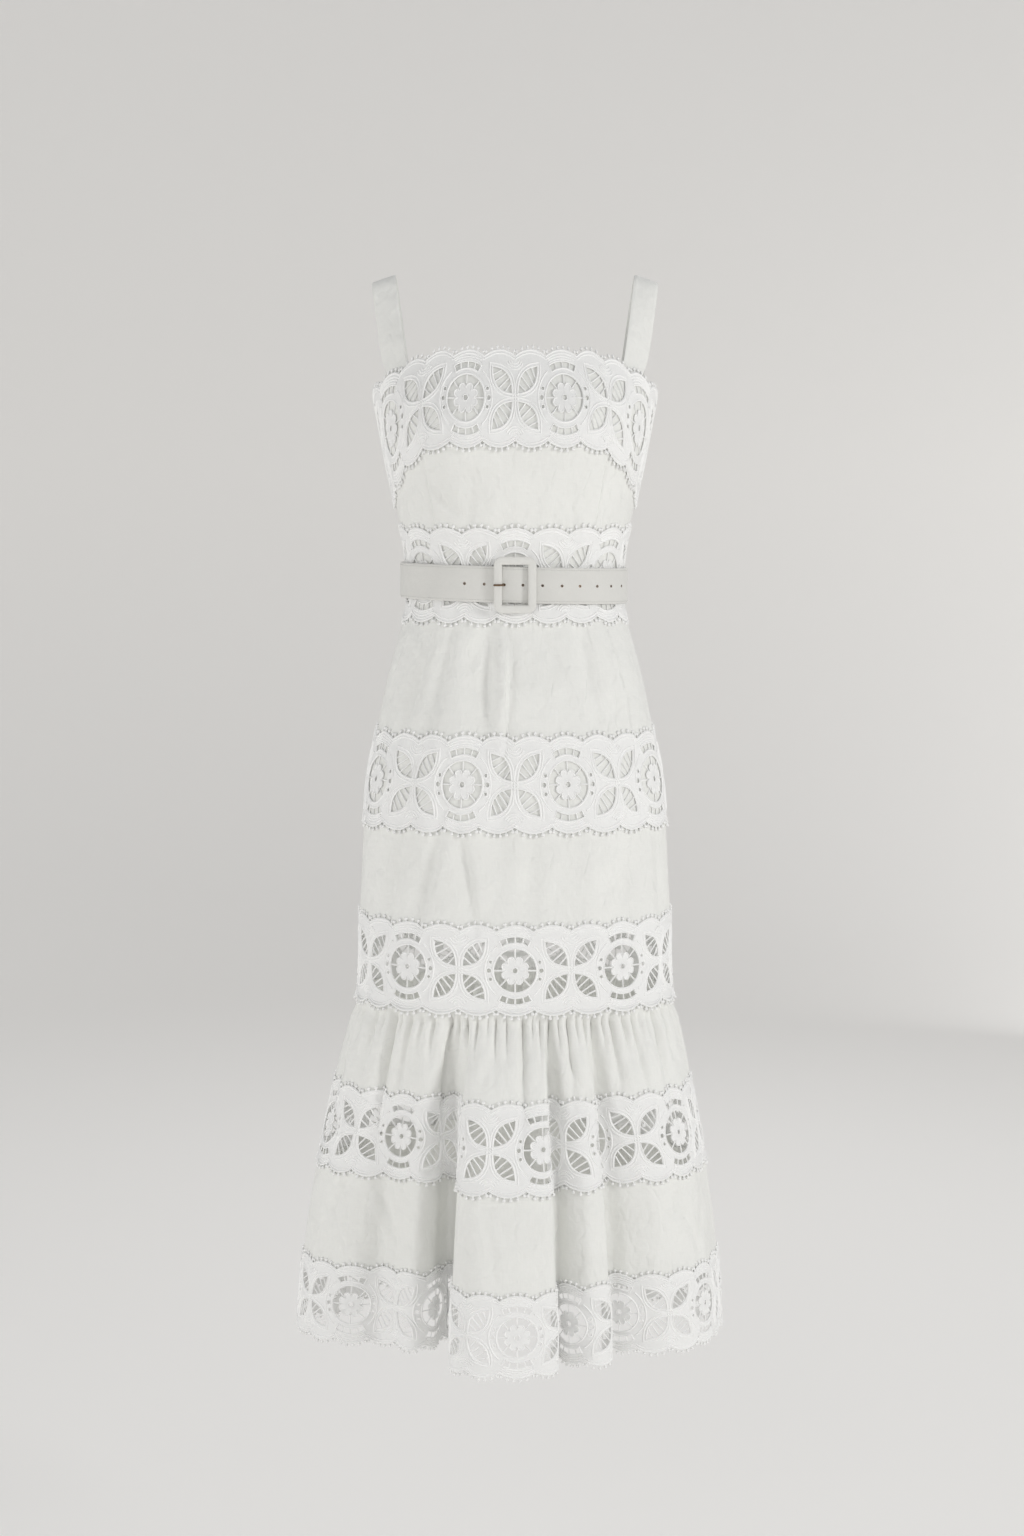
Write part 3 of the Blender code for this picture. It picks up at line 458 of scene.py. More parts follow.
def to_piece(form, name, material, lay, slot, body="dress", replaces=(), stretch=1.0, shift=0.0):
    """Lays a flat form on the dress as a finished piece, with its flat place kept as its UV map in metres."""
    bmesh.ops.recalc_face_normals(form, faces=form.faces)
    mesh = bpy.data.meshes.new(name)
    form.to_mesh(mesh)
    form.free()
    flat = np.empty(len(mesh.vertices) * 3)
    mesh.vertices.foreach_get("co", flat)
    flat = flat.reshape(-1, 3)
    corners = np.empty(len(mesh.loops), int)
    mesh.loops.foreach_get("vertex_index", corners)
    own = (flat[:, :2] - (shift, 0)) / (stretch, 1)
    mesh.uv_layers.new(name="cloth").data.foreach_set("uv", own[corners].ravel())
    mesh.vertices.foreach_set("co", np.asarray(lay(flat)).ravel())
    mesh.update()
    mesh.shade_smooth()
    mesh.set_sharp_from_angle(angle=math.radians(SHARP))
    mesh.materials.append(material)
    piece = add_object(name, mesh)
    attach(piece, body)
    if replaces:
        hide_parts(*replaces)
    return piece


def piece_of(form, name, material, **settings):
    """A form that is in its place already, as a finished piece."""
    return to_piece(form, name, material, lambda placed: placed, **settings)


def loop(form, points):
    """A closed loop of edges through flat points."""
    verts = [form.verts.new((x, y, 0)) for x, y in points]
    return [form.edges.new(pair) for pair in zip(verts, verts[1:] + verts[:1])]


def fill(form, edges):
    """Fills the inside of flat loops, with the loops inside them left open."""
    bmesh.ops.triangle_fill(form, use_beauty=True, use_dissolve=False, edges=edges, normal=(0, 0, 1))


def close_holes(form, sides, near=math.inf):
    """Closes a form's open ends."""
    ends = [e for e in form.edges if e.is_boundary and e.verts[0].co.length < near]
    bmesh.ops.holes_fill(form, edges=ends, sides=sides)


def cut(form, place, normal, **settings):
    geometry = form.verts[:] + form.edges[:] + form.faces[:]
    bmesh.ops.bisect_plane(form, geom=geometry, plane_co=place, plane_no=normal, **settings)


def cut_across(form, places, axis):
    """Cuts a form at even places along an axis, so that it can bend."""
    normal = [float(k == axis) for k in range(3)]
    for place in places:
        cut(form, [place * k for k in normal], normal, dist=1e-6)


def keep_between(form, start, end):
    """Cuts off what lies before and after two places round."""
    for place, normal in ((start, -1), (end, 1)):
        cut(form, (place, 0, 0), (normal, 0, 0), dist=1e-7, clear_outer=True)


def thicken(form, inside, outside):
    """Makes a flat form a closed wall."""
    made = bmesh.ops.extrude_face_region(form, geom=form.faces[:], use_keep_orig=True)
    raised = {g for g in made["geom"] if isinstance(g, bmesh.types.BMVert)}
    for v in form.verts:
        v.co.z = outside if v in raised else inside


def finished_form(holder):
    """An object's evaluated shape as a form. The object is removed."""
    bpy.context.view_layer.update()
    form = bmesh.new()
    form.from_mesh(holder.evaluated_get(bpy.context.evaluated_depsgraph_get()).to_mesh())
    bpy.data.batch_remove([holder, holder.data])
    return form


def rows_of(form, count, pitch):
    """A form repeated along x with an array modifier."""
    mesh = bpy.data.meshes.new("unit")
    form.to_mesh(mesh)
    holder = add_object("unit", mesh)
    array = holder.modifiers.new("repeat", "ARRAY")
    array.count = count
    array.use_relative_offset = False
    array.use_constant_offset = True
    array.constant_offset_displace = (pitch, 0, 0)
    array.use_merge_vertices = True
    array.merge_threshold = 1e-5
    return finished_form(holder)


# ---------------------------------------------------------------- plain cloth

# Where a tier's pieces start and end round its skin, as (part, first place, last place)
SPLIT_BACK = (("front", 0.25, 0.75), ("back_left", 0.75, 1.0), ("back_right", 0.0, 0.25))
WHOLE_BACK = (SPLIT_BACK[0], ("back", 0.75, 1.25))
BODICE = (
    ("front_centre", 0.375, 0.625),
    ("front_side_right", 0.25, 0.375),
    ("front_side_left", 0.625, 0.75),
    *SPLIT_BACK[1:],
)
FOLDS_SEAM = len(FRONT_FOLDS) - 1
FOLDS_END = len(FRONT_FOLDS) + BACK_FOLDS["count"] * BACK_FOLDS["columns_each"]
FLOUNCE = (("front", 0, FOLDS_SEAM), ("back", FOLDS_SEAM, FOLDS_END))
CENTRE = {"fitted": 0.5, "gathered": 15.4}

# Plain tiers, as (tier, skin, upper edge, pieces). An edge named after a falling edge falls with it, and the
# others are level, at the node's own lowest and highest point.
PLAIN = (
    ("bodice", "fitted", "bodice_top", BODICE),
    ("skirt_upper", "fitted", None, SPLIT_BACK),
    ("skirt_lower", "fitted", None, WHOLE_BACK),
    ("flounce_upper", "gathered", None, FLOUNCE),
    ("flounce_lower", "gathered", None, FLOUNCE),
)

# A plain piece's mesh steps are so much longer up it than round it, and it is rolled in at its sides
STEP_UP = 1.4
PANEL_EDGE = {"columns": (0.0, 0.7 * MM, 2.0 * MM), "reach": 1.1 * MM, "roll": 0.7}


def ring_of(skin, node, low=None, high=None):
    """The ring that a node is part of."""
    bottom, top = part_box(node)
    low = falling(low) if low else level(bottom.z)
    high = falling(high) if high else level(top.z)
    return Ring({"fitted": fitted_skin, "gathered": gathered_skin}[skin](), low, high, CENTRE[skin])


def panel(start, end, tall, across, up, thick):
    """A flat closed wall with finer columns at its two sides, where it is rolled in a little."""
    inner = np.linspace(start, end, across + 1)[1:-1]
    edge = PANEL_EDGE["columns"]
    stops = np.concatenate([[start + e for e in edge], inner, [end - e for e in edge[::-1]]])
    form = bmesh.new()
    bmesh.ops.create_grid(form, x_segments=len(stops) - 1, y_segments=up, size=0.5)
    for v in form.verts:
        v.co.x = stops[round((v.co.x + 0.5) * (len(stops) - 1))]
        v.co.y *= tall
    thicken(form, 0, thick)
    for v in form.verts:
        to_seam = min(v.co.x - start, end - v.co.x)
        if v.co.z > 0:
            v.co.z -= thick * PANEL_EDGE["roll"] * math.exp(-((to_seam / PANEL_EDGE["reach"]) ** 2))
    return form


def make_plain(tier, skin, high, pieces, material, sizes):
    """The plain cloth pieces of a tier, rolled in a little at their seams."""
    step = {"fitted": sizes.cloth_step, "gathered": sizes.fold_step}[skin]
    for part, first, last in pieces:
        node = f"{tier}_{part}"
        ring = ring_of(skin, node, None, high)
        start, end = ring.span(first, last, sizes.seam_gap)
        bottom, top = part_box(node)
        tall = top.z - bottom.z
        across = max(4, round((end - start) / step))
        up = max(3, round(tall / sizes.cloth_step / STEP_UP))
        form = panel(start, end, tall, across, up, sizes.cloth)
        lay = functools.partial(ring.lay, tall=tall)
        piece = to_piece(form, f"{node}_cloth", material, lay, slot="linen", replaces=(node,))


# ---------------------------------------------------------------- lace

# One repeat of the cutwork, in millimetres from its middle. It is the same mirrored either way. Along its two
# edges are beads on stems, and those of the lower edge flare out from this share of the height down.
REPEAT = {"wide": 116.0, "tall": 100.0, "scallops": 3, "bow": 6.0, "inner_edge": 3.0}
SCALLOP = REPEAT["wide"] / REPEAT["scallops"]
BEADS = {"each": 6, "out": 3.4, "radius": 2.0, "foot": 0.4, "stem": (0.95, 0.8), "flare_from": 0.36}
WHEEL = {"window": 22.0, "ring": 31.0, "ring_half": 52.0}
DAISY = {"petals": 8, "outer": 14.6, "notch": 9.6, "eye": 2.6, "steps": 6, "fullness": 0.55}
LEAF = {"from_knot": 22.5, "turn": 47.0, "half_long": 17.0, "half_wide": 8.2, "pointed": 1.4}
LEAF_BARS = {"places": (-0.58, -0.2, 0.2, 0.58), "lean": 0.15, "fan": 0.4}
CRESCENT = {"inner": 28.0, "outer": 34.0, "from": 62.0, "to": 118.0, "bars": (74.0, 90.0, 106.0)}
ARCS = {"radii": (36.4, 38.8), "from": 64.0, "to": 116.0}
SHELL = {"radii": (5.5, 8.2, 10.9), "from": 205.0, "to": 335.0, "in": 13.0}

# The ring round each knot, between two wheels
KNOT = 3.4

# The stitches fan out from a wheel's middle as far as this, in metres, and slant beyond it
FANS_END = 0.0362

# Eyelets, as (across, up, radius)
EYELETS = (
    (27.0, 0.0, 2.3), (-27.0, 0.0, 2.3),
    (25.3, 8.6, 1.7), (25.3, -8.6, 1.7), (-25.3, 8.6, 1.7), (-25.3, -8.6, 1.7),
)

# The cords' radii, and how high the middles of the cords and of the bars lie
CORDS = {
    "edge": 1.05, "inner edge": 0.85, "crescent": 0.95, "arc": 0.75, "ring": 0.9, "window": 1.1,
    "petals": 0.8, "eye": 0.6, "leaf": 1.05, "inner leaf": 0.85, "eyelet": 0.65, "knot": 0.9, "bar": 0.8,
}
CORD_UP, BAR_UP = 1.1, 0.45

# How far outside an edge its cord lies, on the cloth
OUTSIDE = {
    "crescent": 0.6, "window": 0.7, "petals": -0.3, "eye": 0.5, "leaf": 0.7, "inner leaf": 3.8, "eyelet": 0.5,
}

# How many points each outline and cord is drawn with
DRAWN = {
    "scallop": 9, "leaf": 9, "crescent": 8, "window": 32, "eye": 10, "eyelet": 8, "arc": 9, "ring": 14,
    "shell": 7, "window cord": 36, "eyelet cord": 10, "knot": 12,
}

# How far a bar's ends reach into the cloth
BAR_PAST = {"crescent": 0.6, "petals": 0.8, "window": 0.6, "leaf": 0.5}

# The sheet is cut so often round a band that it can bend, in millimetres, and in so many rows
LACE_STEP = {"fitted": 8.0, "gathered": 5.0}
LACE_ROWS = 10


def arc(radius, start, end, steps, centre=(0, 0)):
    """Points along an arc, with its angles in degrees."""
    angles = np.radians(np.linspace(start, end, steps + 1))
    return [(centre[0] + radius * math.cos(a), centre[1] + radius * math.sin(a)) for a in angles]


def circle(radius, steps, centre=(0, 0)):
    return arc(radius, 0, 360, steps, centre)[:-1]


def scallop_point(side, scallop, t, inset=0.0):
    """A point on a scallop at the top (1) or the bottom (-1), from its left end (-1) to its right end (1)."""
    crest = REPEAT["tall"] / 2 - BEADS["out"] - BEADS["radius"] - inset
    return -REPEAT["wide"] / 2 + SCALLOP * (scallop + 0.5 + t / 2), side * (crest - REPEAT["bow"] * t * t)


def scallop_edge(side, inset=0.0):
    """Points along the cloth's scalloped edge from left to right."""
    steps = np.linspace(-1, 1, DRAWN["scallop"])
    points = [scallop_point(side, n, t, inset) for n in range(REPEAT["scallops"]) for t in steps[:-1]]
    return [*points, scallop_point(side, REPEAT["scallops"] - 1, 1.0, inset)]


def leaves():
    """The four leaf windows round the knots at the repeat's two ends, as (centre, along, across)."""
    found = []
    turn = math.radians(LEAF["turn"])
    for side, up in itertools.product((-1, 1), repeat=2):
        along = np.array([-side * math.cos(turn), up * math.sin(turn)])
        centre = np.array([side * REPEAT["wide"] / 2, 0.0]) + along * LEAF["from_knot"]
        found.append((centre, along, np.array([-along[1], along[0]])))
    return found


def leaf_outline(centre, along, across, grow=0.0):
    """A pointed leaf, both sides of it."""
    half_long, half_wide = LEAF["half_long"] + LEAF["pointed"] * grow, LEAF["half_wide"] + grow
    places = np.linspace(-1, 1, DRAWN["leaf"] + 1)[:-1]
    side = [along * half_long * t + across * half_wide * (1 - t * t) for t in places]
    return [tuple(centre + p) for p in side] + [tuple(centre - p) for p in side]


def daisy(grow=0.0):
    """The outline of the flower that hangs in the round window."""
    points = []
    steps = DAISY["steps"]
    for petal, k in itertools.product(range(DAISY["petals"]), range(steps)):
        turn = 2 * math.pi * (petal + k / steps) / DAISY["petals"]
        reach = math.sin(math.pi * k / steps) ** DAISY["fullness"]
        radius = DAISY["notch"] + (DAISY["outer"] - DAISY["notch"]) * reach + grow
        points.append((radius * math.cos(turn), radius * math.sin(turn)))
    return points


def crescent(side, grow=0.0):
    """A ladder window along the top or bottom of the wheel."""
    spread = math.degrees(grow / CRESCENT["inner"])
    start, end, steps = CRESCENT["from"] - spread, CRESCENT["to"] + spread, DRAWN["crescent"]
    inner = arc(CRESCENT["inner"] - grow, start, end, steps)
    outer = arc(CRESCENT["outer"] + grow, end, start, steps)
    return [(x, side * y) for x, y in inner + outer]


def sheet_unit(step):
    """The flat cutwork of one repeat, with its windows open."""
    form = bmesh.new()
    windows = [circle(WHEEL["window"], DRAWN["window"]), *(leaf_outline(*leaf) for leaf in leaves())]
    windows += [crescent(-1), crescent(1)]
    windows += [circle(radius, DRAWN["eyelet"], (x, y)) for x, y, radius in EYELETS]
    edges = loop(form, scallop_edge(-1) + scallop_edge(1)[::-1])
    for window in windows:
        edges += loop(form, window)
    fill(form, edges)
    fill(form, loop(form, daisy()) + loop(form, circle(DAISY["eye"], DRAWN["eye"])))
    half_wide, half_tall = REPEAT["wide"] / 2, REPEAT["tall"] / 2
    cut_across(form, np.linspace(-half_wide, half_wide, round(REPEAT["wide"] / step) + 1)[1:-1], 0)
    cut_across(form, np.linspace(-half_tall, half_tall, LACE_ROWS + 1)[1:-1], 1)
    bmesh.ops.scale(form, vec=(MM, MM, MM), verts=form.verts)
    return form


def trim_lines():
    """The raised cords and the bars of one repeat, as (points, closed, radius, height), in millimetres."""
    lines = []

    def cord(kind, points, closed=False):
        lines.append((points, closed, CORDS[kind], CORD_UP))

    def bar(start, end):
        lines.append(([tuple(start), tuple(end)], False, CORDS["bar"], BAR_UP))

    def spoke(angle, inner, outer, side=1):
        bar(*((r * math.cos(angle), side * r * math.sin(angle)) for r in (inner, outer)))

    for side in (-1, 1):
        cord("edge", scallop_edge(side))
        cord("inner edge", scallop_edge(side, REPEAT["inner_edge"]))
        cord("crescent", crescent(side, OUTSIDE["crescent"]), True)
        for r in ARCS["radii"]:
            cord("arc", [(x, side * y) for x, y in arc(r, ARCS["from"], ARCS["to"], DRAWN["arc"])])
        middle, half = 90 - 90 * side, WHEEL["ring_half"]
        cord("ring", arc(WHEEL["ring"], middle - half, middle + half, DRAWN["ring"]))
        cusp = (REPEAT["wide"] / 2, side * (REPEAT["tall"] / 2 - SHELL["in"]))
        for r in SHELL["radii"]:
            shell = arc(r, SHELL["from"], SHELL["to"], DRAWN["shell"])
            cord("arc", [(cusp[0] + x, cusp[1] + side * y) for x, y in shell])
        for turn in CRESCENT["bars"]:
            past = BAR_PAST["crescent"]
            spoke(math.radians(turn), CRESCENT["inner"] - past, CRESCENT["outer"] + past, side)
    cord("window", circle(WHEEL["window"] + OUTSIDE["window"], DRAWN["window cord"]), True)
    cord("petals", daisy(OUTSIDE["petals"]), True)
    cord("eye", circle(DAISY["eye"] + OUTSIDE["eye"], DRAWN["eye"]), True)
    inner, outer = DAISY["notch"] - BAR_PAST["petals"], WHEEL["window"] + BAR_PAST["window"]
    for k in range(DAISY["petals"]):
        spoke(2 * math.pi * k / DAISY["petals"], inner, outer)
    for centre, along, across in leaves():
        for kind in ("leaf", "inner leaf"):
            cord(kind, leaf_outline(centre, along, across, OUTSIDE[kind]), True)
        for t in LEAF_BARS["places"]:
            reach = LEAF["half_wide"] * (1 - t * t) + BAR_PAST["leaf"]
            middle = centre + along * LEAF["half_long"] * t
            half = across * reach + along * reach * (LEAF_BARS["lean"] + LEAF_BARS["fan"] * t)
            bar(middle - half, middle + half)
    for x, y, radius in EYELETS:
        cord("eyelet", circle(radius + OUTSIDE["eyelet"], DRAWN["eyelet cord"], (x, y)), True)
    cord("knot", circle(KNOT, DRAWN["knot"], (REPEAT["wide"] / 2, 0)), True)
    return lines


def cords(lines, sides=4):
    """Round cords along flat lines, as (points, closed, radius, height) in millimetres."""
    curve = bpy.data.curves.new("cords", "CURVE")
    curve.dimensions = "3D"
    curve.bevel_depth = MM
    curve.bevel_resolution = sides // 2 - 2
    curve.use_fill_caps = True
    for points, closed, radius, height in lines:
        run = curve.splines.new("POLY")
        run.points.add(len(points) - 1)
        for point, (x, y, *z) in zip(run.points, points):
            point.co = (x * MM, y * MM, (height + sum(z)) * MM, 1)
            point.radius = radius
        run.use_cyclic_u = closed
    return finished_form(add_object("cords", curve))


def trim_unit():
    """The cords and bars of one repeat, with little beads on stems along both edges, as one flat form."""
    form = cords(trim_lines())
    each = BEADS["each"]
    wide, narrow = BEADS["stem"]
    for side, scallop, k in itertools.product((-1, 1), range(REPEAT["scallops"]), range(each)):
        t = (2 * k + 1) / each - 1
        out = Vector((4 * REPEAT["bow"] * t / SCALLOP, 1)).normalized()
        foot = Vector((*scallop_point(side, scallop, t), BEADS["foot"])) * MM
        along = Vector((out.x, side * out.y, 0)) * BEADS["out"] * MM
        place = Matrix.Translation(foot + along)
        bmesh.ops.create_icosphere(form, subdivisions=1, radius=BEADS["radius"] * MM, matrix=place)
        place = Matrix.Translation(foot + along / 2) @ along.to_track_quat("Z", "Y").to_matrix().to_4x4()
        size = {"radius1": wide * MM, "radius2": narrow * MM, "depth": along.length}
        bmesh.ops.create_cone(form, segments=4, matrix=place, **size)
    return form


# Lace bands, as (band, skin, repeats, shift in repeats, lower edge, upper edge, how many millimetres the
# lower beads flare, pieces)
BANDS = (
    ("bust_lace", "fitted", 8, 0.5, "bust_lace_bottom", "bust_lace_top", 1.5, SPLIT_BACK),
    ("waist_lace", "fitted", 6, 0.0, None, None, 0.5, SPLIT_BACK),
    ("hip_lace", "fitted", 8, 0.5, None, None, 1.0, WHOLE_BACK),
    ("knee_lace", "fitted", 8, 0.0, None, None, 3.0, WHOLE_BACK),
    ("flounce_lace", "gathered", 12, 0.25, None, None, 1.5, FLOUNCE),
    ("hem_lace", "gathered", 16, 0.0, None, None, 0.0, FLOUNCE),
)


def make_band(band, units, materials, sizes):
    """The cutwork and the trim of one band, piece by piece."""
    name, skin, repeats, shift, low, high, flare, pieces = band
    wide, tall = REPEAT["wide"] * MM, REPEAT["tall"] * MM
    ring = ring_of(skin, f"{name}_{pieces[0][0]}", low, high)
    pitch = ring.girth / repeats
    lay = functools.partial(ring.lay, tall=tall)
    laid = {"lay": lay, "slot": "lace", "stretch": pitch / wide, "shift": shift * pitch}
    for part, first, last in pieces:
        node = f"{name}_{part}"
        start, end = ring.span(first, last, sizes.seam_gap)
        first_unit = math.floor(start / pitch - shift - 0.5)
        last_unit = math.ceil(end / pitch - shift + 0.5)
        forms = [rows_of(unit, last_unit - first_unit + 1, wide) for unit in (units[skin], units["trim"])]
        for form in forms:
            for v in form.verts:
                v.co.x = v.co.x * pitch / wide + (first_unit + shift) * pitch
            keep_between(form, start, end)
        cutwork, trim = forms
        flat_area = sum(f.calc_area() for f in cutwork.faces)
        thicken(cutwork, sizes.lace_inside, sizes.lace_inside + sizes.lace)
        close_holes(trim, sides=8)
        for v in trim.verts:
            down = max(0.0, (-v.co.y / tall - BEADS["flare_from"]) / (0.5 - BEADS["flare_from"]))
            v.co.z += sizes.lace_inside + flare * MM * down * down
        piece = to_piece(cutwork, f"{node}_cutwork", materials["cutwork"], replaces=(node,), **laid)
        corded = to_piece(trim, f"{node}_cords", materials["cords"], **laid)
        height = ring.height(start, end)


# ---------------------------------------------------------------- straps

# A strap's route over the shoulder, as (distance from the middle plane, distance behind the crest, height,
# and how far its outer edge falls and lies back, as shares of the strap's width)
STRAP_ROUTE = (
    (0.1295, -0.0500, -0.0880, 0.10, 1.00),
    (0.1360, -0.0350, -0.0470, 0.20, 0.55),
    (0.1410, -0.0175, -0.0110, 0.30, 0.20),
    (0.1425, 0.0000, -0.0006, 0.34, 0.00),
    (0.1410, 0.0195, -0.0120, 0.30, -0.20),
    (0.1360, 0.0365, -0.0500, 0.20, -0.55),
    (0.1295, 0.0490, -0.0980, 0.10, -1.00),
)
STRAP = {"width": 0.026, "thick": 1.1 * MM, "behind": 3.0 * MM, "sewn": 3.0 * MM, "steps": 80, "across": 10}

# A strap's feet, as (way round from the centre front, which way its outer edge is)
STRAP_FEET = ((0.1615, 1), (0.345, -1))
BUST_GIRTH = 0.83


def smooth_line(points, steps):
    """Evenly spaced points of a smooth curve through the given ones."""
    ends = np.vstack([2 * points[0] - points[1], points, 2 * points[-1] - points[-2]])
    t = np.arange(FINE["strap"])[:, None] / FINE["strap"]
    fine = []
    for a, b, c, d in zip(ends, ends[1:], ends[2:], ends[3:]):
        pull = (2 * a - 5 * b + 4 * c - d) * t**2 + (3 * b - a - 3 * c + d) * t**3
        fine.append(0.5 * (2 * b + (c - a) * t + pull))
    line = np.vstack([*fine, points[-1:]])
    along = distances(line)
    at = np.linspace(0, along[-1], steps + 1)
    return np.column_stack([np.interp(at, along, line[:, k]) for k in range(3)])


def strap_line(side, edge):
    """Points along a strap's inner edge (-1), middle (0) or outer edge (1), from front to back."""
    half = edge * STRAP["width"] / 2
    feet = []
    for from_middle, outwards in STRAP_FEET:
        way = np.array([0.5 + side * (from_middle + outwards * half / BUST_GIRTH)])
        height = edge_height("bodice_top", way) - STRAP["sewn"]
        feet.append(fitted_skin().at(way, height, np.array([-STRAP["behind"]]))[0])
    over = [
        (side * (across + half), behind + half * back, height - half * fall)
        for across, behind, height, fall, back in STRAP_ROUTE
    ]
    return smooth_line(np.array([feet[0], *over, feet[1]]), STRAP["steps"])


def make_strap(node, side, material):
    """A flat strap over one shoulder, its edges rolled."""
    steps = STRAP["steps"]
    lines = np.array([strap_line(side, edge) for edge in (-1, 0, 1)])
    ahead = np.gradient(lines[1], axis=0)
    length = float(distances(lines[1])[-1])
    half = STRAP["width"] / 2
    form = panel(-half, half, length, STRAP["across"], steps, STRAP["thick"])

    def lay(flat):
        at = np.clip((flat[:, 1] / length + 0.5) * steps, 0, steps - 1e-6)
        i = at.astype(int)
        t = (at - i)[:, None]
        inner, middle, outer = lines[:, i] * (1 - t) + lines[:, i + 1] * t
        outwards = (side * flat[:, 0] / half)[:, None]
        point = middle + np.where(outwards > 0, outer - middle, middle - inner) * outwards
        facing = np.cross(outer - inner, ahead[i] * (1 - t) + ahead[i + 1] * t) * side
        facing /= np.linalg.norm(facing, axis=1, keepdims=True)
        return point + facing * flat[:, 2:]

    piece = to_piece(form, f"{node}_cloth", material, lay, slot="linen", replaces=(node,))


# ---------------------------------------------------------------- the belt

BELT = {"middle": -0.32875, "tall": 0.0385, "thick": 1.6 * MM, "clear": 5.8 * MM, "tilt": 0.025}
BELT_START = 2.2 * MM
BELT_TIP = {"reach": 0.215, "long": 0.016}
BELT_LAP = {"out": 2.2 * MM, "from": 0.80, "to": 0.94}

# The belt's rolled edge, as (how far in, share of its thickness in front, and behind), its padding, as (how
# high, how far in), and the groove that its stitches pull in, as (how deep, half width)
BELT_ROLL = (0.7 * MM, 0.55, 0.3)
BELT_PADDING = (0.25 * MM, 2 * MM)
BELT_GROOVE = (0.2 * MM, 0.5 * MM)
WAIST = -0.328

# The prong's slot, as (near end, far end, half width)
BELT_SLOT = (4.0 * MM, 15.0 * MM, 1.5 * MM)

# The belt is cut at even steps along it, and in rows so many millimetres in from its edges
BELT_STEP = 4 * MM
BELT_ROWS = (0.35, 0.8, 1.4, 2.1, 2.6, 3.1, 4.2)
BELT_HOLES = {"first": 12.2 * MM, "apart": 20.5 * MM, "from": -7, "to": 2, "radius": 0.9 * MM}
HOLE_RIM = {"out": 0.25, "radius": 0.38, "up": 1.75, "sides": 6}
BELT_DRAWN = {"tip": 16, "hole": 10, "slot": 6, "rim": 14}
STITCH = {"apart": 2.7 * MM, "long": 1.05 * MM, "thick": 0.27 * MM, "from_edge": 2.6 * MM, "up": 0.14 * MM}
TIP_STITCHES = (100, 260, 15)


@functools.lru_cache
def belt_girth():
    ways = np.linspace(0, 1, FINE["waist"])
    ring = fitted_skin().at(ways, np.full_like(ways, WAIST), np.full_like(ways, BELT["clear"]))
    return float(distances(ring)[-1])


def lay_belt(flat):
    """Lays flat points round the waist, from the buckle to the free end, which is stepped out."""
    turn = -flat[:, 0] / belt_girth()
    lapped = BELT_LAP["out"] * ease(turn, BELT_LAP["from"], BELT_LAP["to"])
    points = fitted_skin().at(0.5 - turn, np.full(len(flat), WAIST), BELT["clear"] + lapped + flat[:, 2])
    points[:, 2] = BELT["middle"] + flat[:, 1] - BELT["tilt"] * points[:, 0]
    return points


def make_belt(materials):
    """The strap with its rolled edges, its rows of stitches and its small metal-rimmed holes."""
    start, end = -BELT_START, -(belt_girth() + BELT_TIP["reach"])
    half, tip = BELT["tall"] / 2, BELT_TIP["long"]
    numbers = range(BELT_HOLES["from"], BELT_HOLES["to"] + 1)
    holes = [-(belt_girth() + BELT_HOLES["first"] + k * BELT_HOLES["apart"]) for k in numbers]
    form = bmesh.new()
    rounded = [(end + tip * (1 + x), half * y) for x, y in arc(1.0, 90, 270, BELT_DRAWN["tip"])]
    edges = loop(form, [(start, -half), (start, half), *rounded])
    for x in holes:
        edges += loop(form, circle(BELT_HOLES["radius"], BELT_DRAWN["hole"], (x, 0)))
    near, far, radius = BELT_SLOT
    far_end = arc(radius, 90, 270, BELT_DRAWN["slot"], (radius - far, 0))
    near_end = arc(radius, -90, 90, BELT_DRAWN["slot"], (-near - radius, 0))
    fill(form, edges + loop(form, far_end + near_end))
    cut_across(form, np.arange(end + BELT_STEP, start, BELT_STEP), 0)
    cut_across(form, [side * (half - row * MM) for row in BELT_ROWS for side in (-1, 1)], 1)
    thicken(form, 0, BELT["thick"])
    reach, roll_front, roll_back = BELT_ROLL
    high, soft = BELT_PADDING
    deep, wide = BELT_GROOVE
    for v in form.verts:
        past_straight = max(0.0, end + tip - v.co.x) / tip
        inwards = half * math.sqrt(max(0.0, 1 - past_straight**2)) - abs(v.co.y)
        roll = BELT["thick"] * math.exp(-((inwards / reach) ** 2))
        if v.co.z > 0:
            groove = deep * math.exp(-(((inwards - STITCH["from_edge"]) / wide) ** 2))
            v.co.z += high * (1 - math.exp(-inwards / soft)) - roll_front * roll - groove
        else:
            v.co.z += roll_back * roll
    cloth = {"slot": "belt_cloth", "lay": lay_belt}
    piece = to_piece(form, "belt_strap_cloth", materials["belt"], replaces=("belt_strap",), **cloth)
    to_piece(belt_stitches(start, end), "belt_stitches", materials["thread"], **cloth)
    rim = circle(BELT_HOLES["radius"] / MM + HOLE_RIM["out"], BELT_DRAWN["rim"])
    rims = [([(x / MM + a, b) for a, b in rim], True, HOLE_RIM["radius"], HOLE_RIM["up"]) for x in holes]
    to_piece(cords(rims, HOLE_RIM["sides"]), "belt_hole_rims", materials["bronze"], lay_belt, slot="bronze")


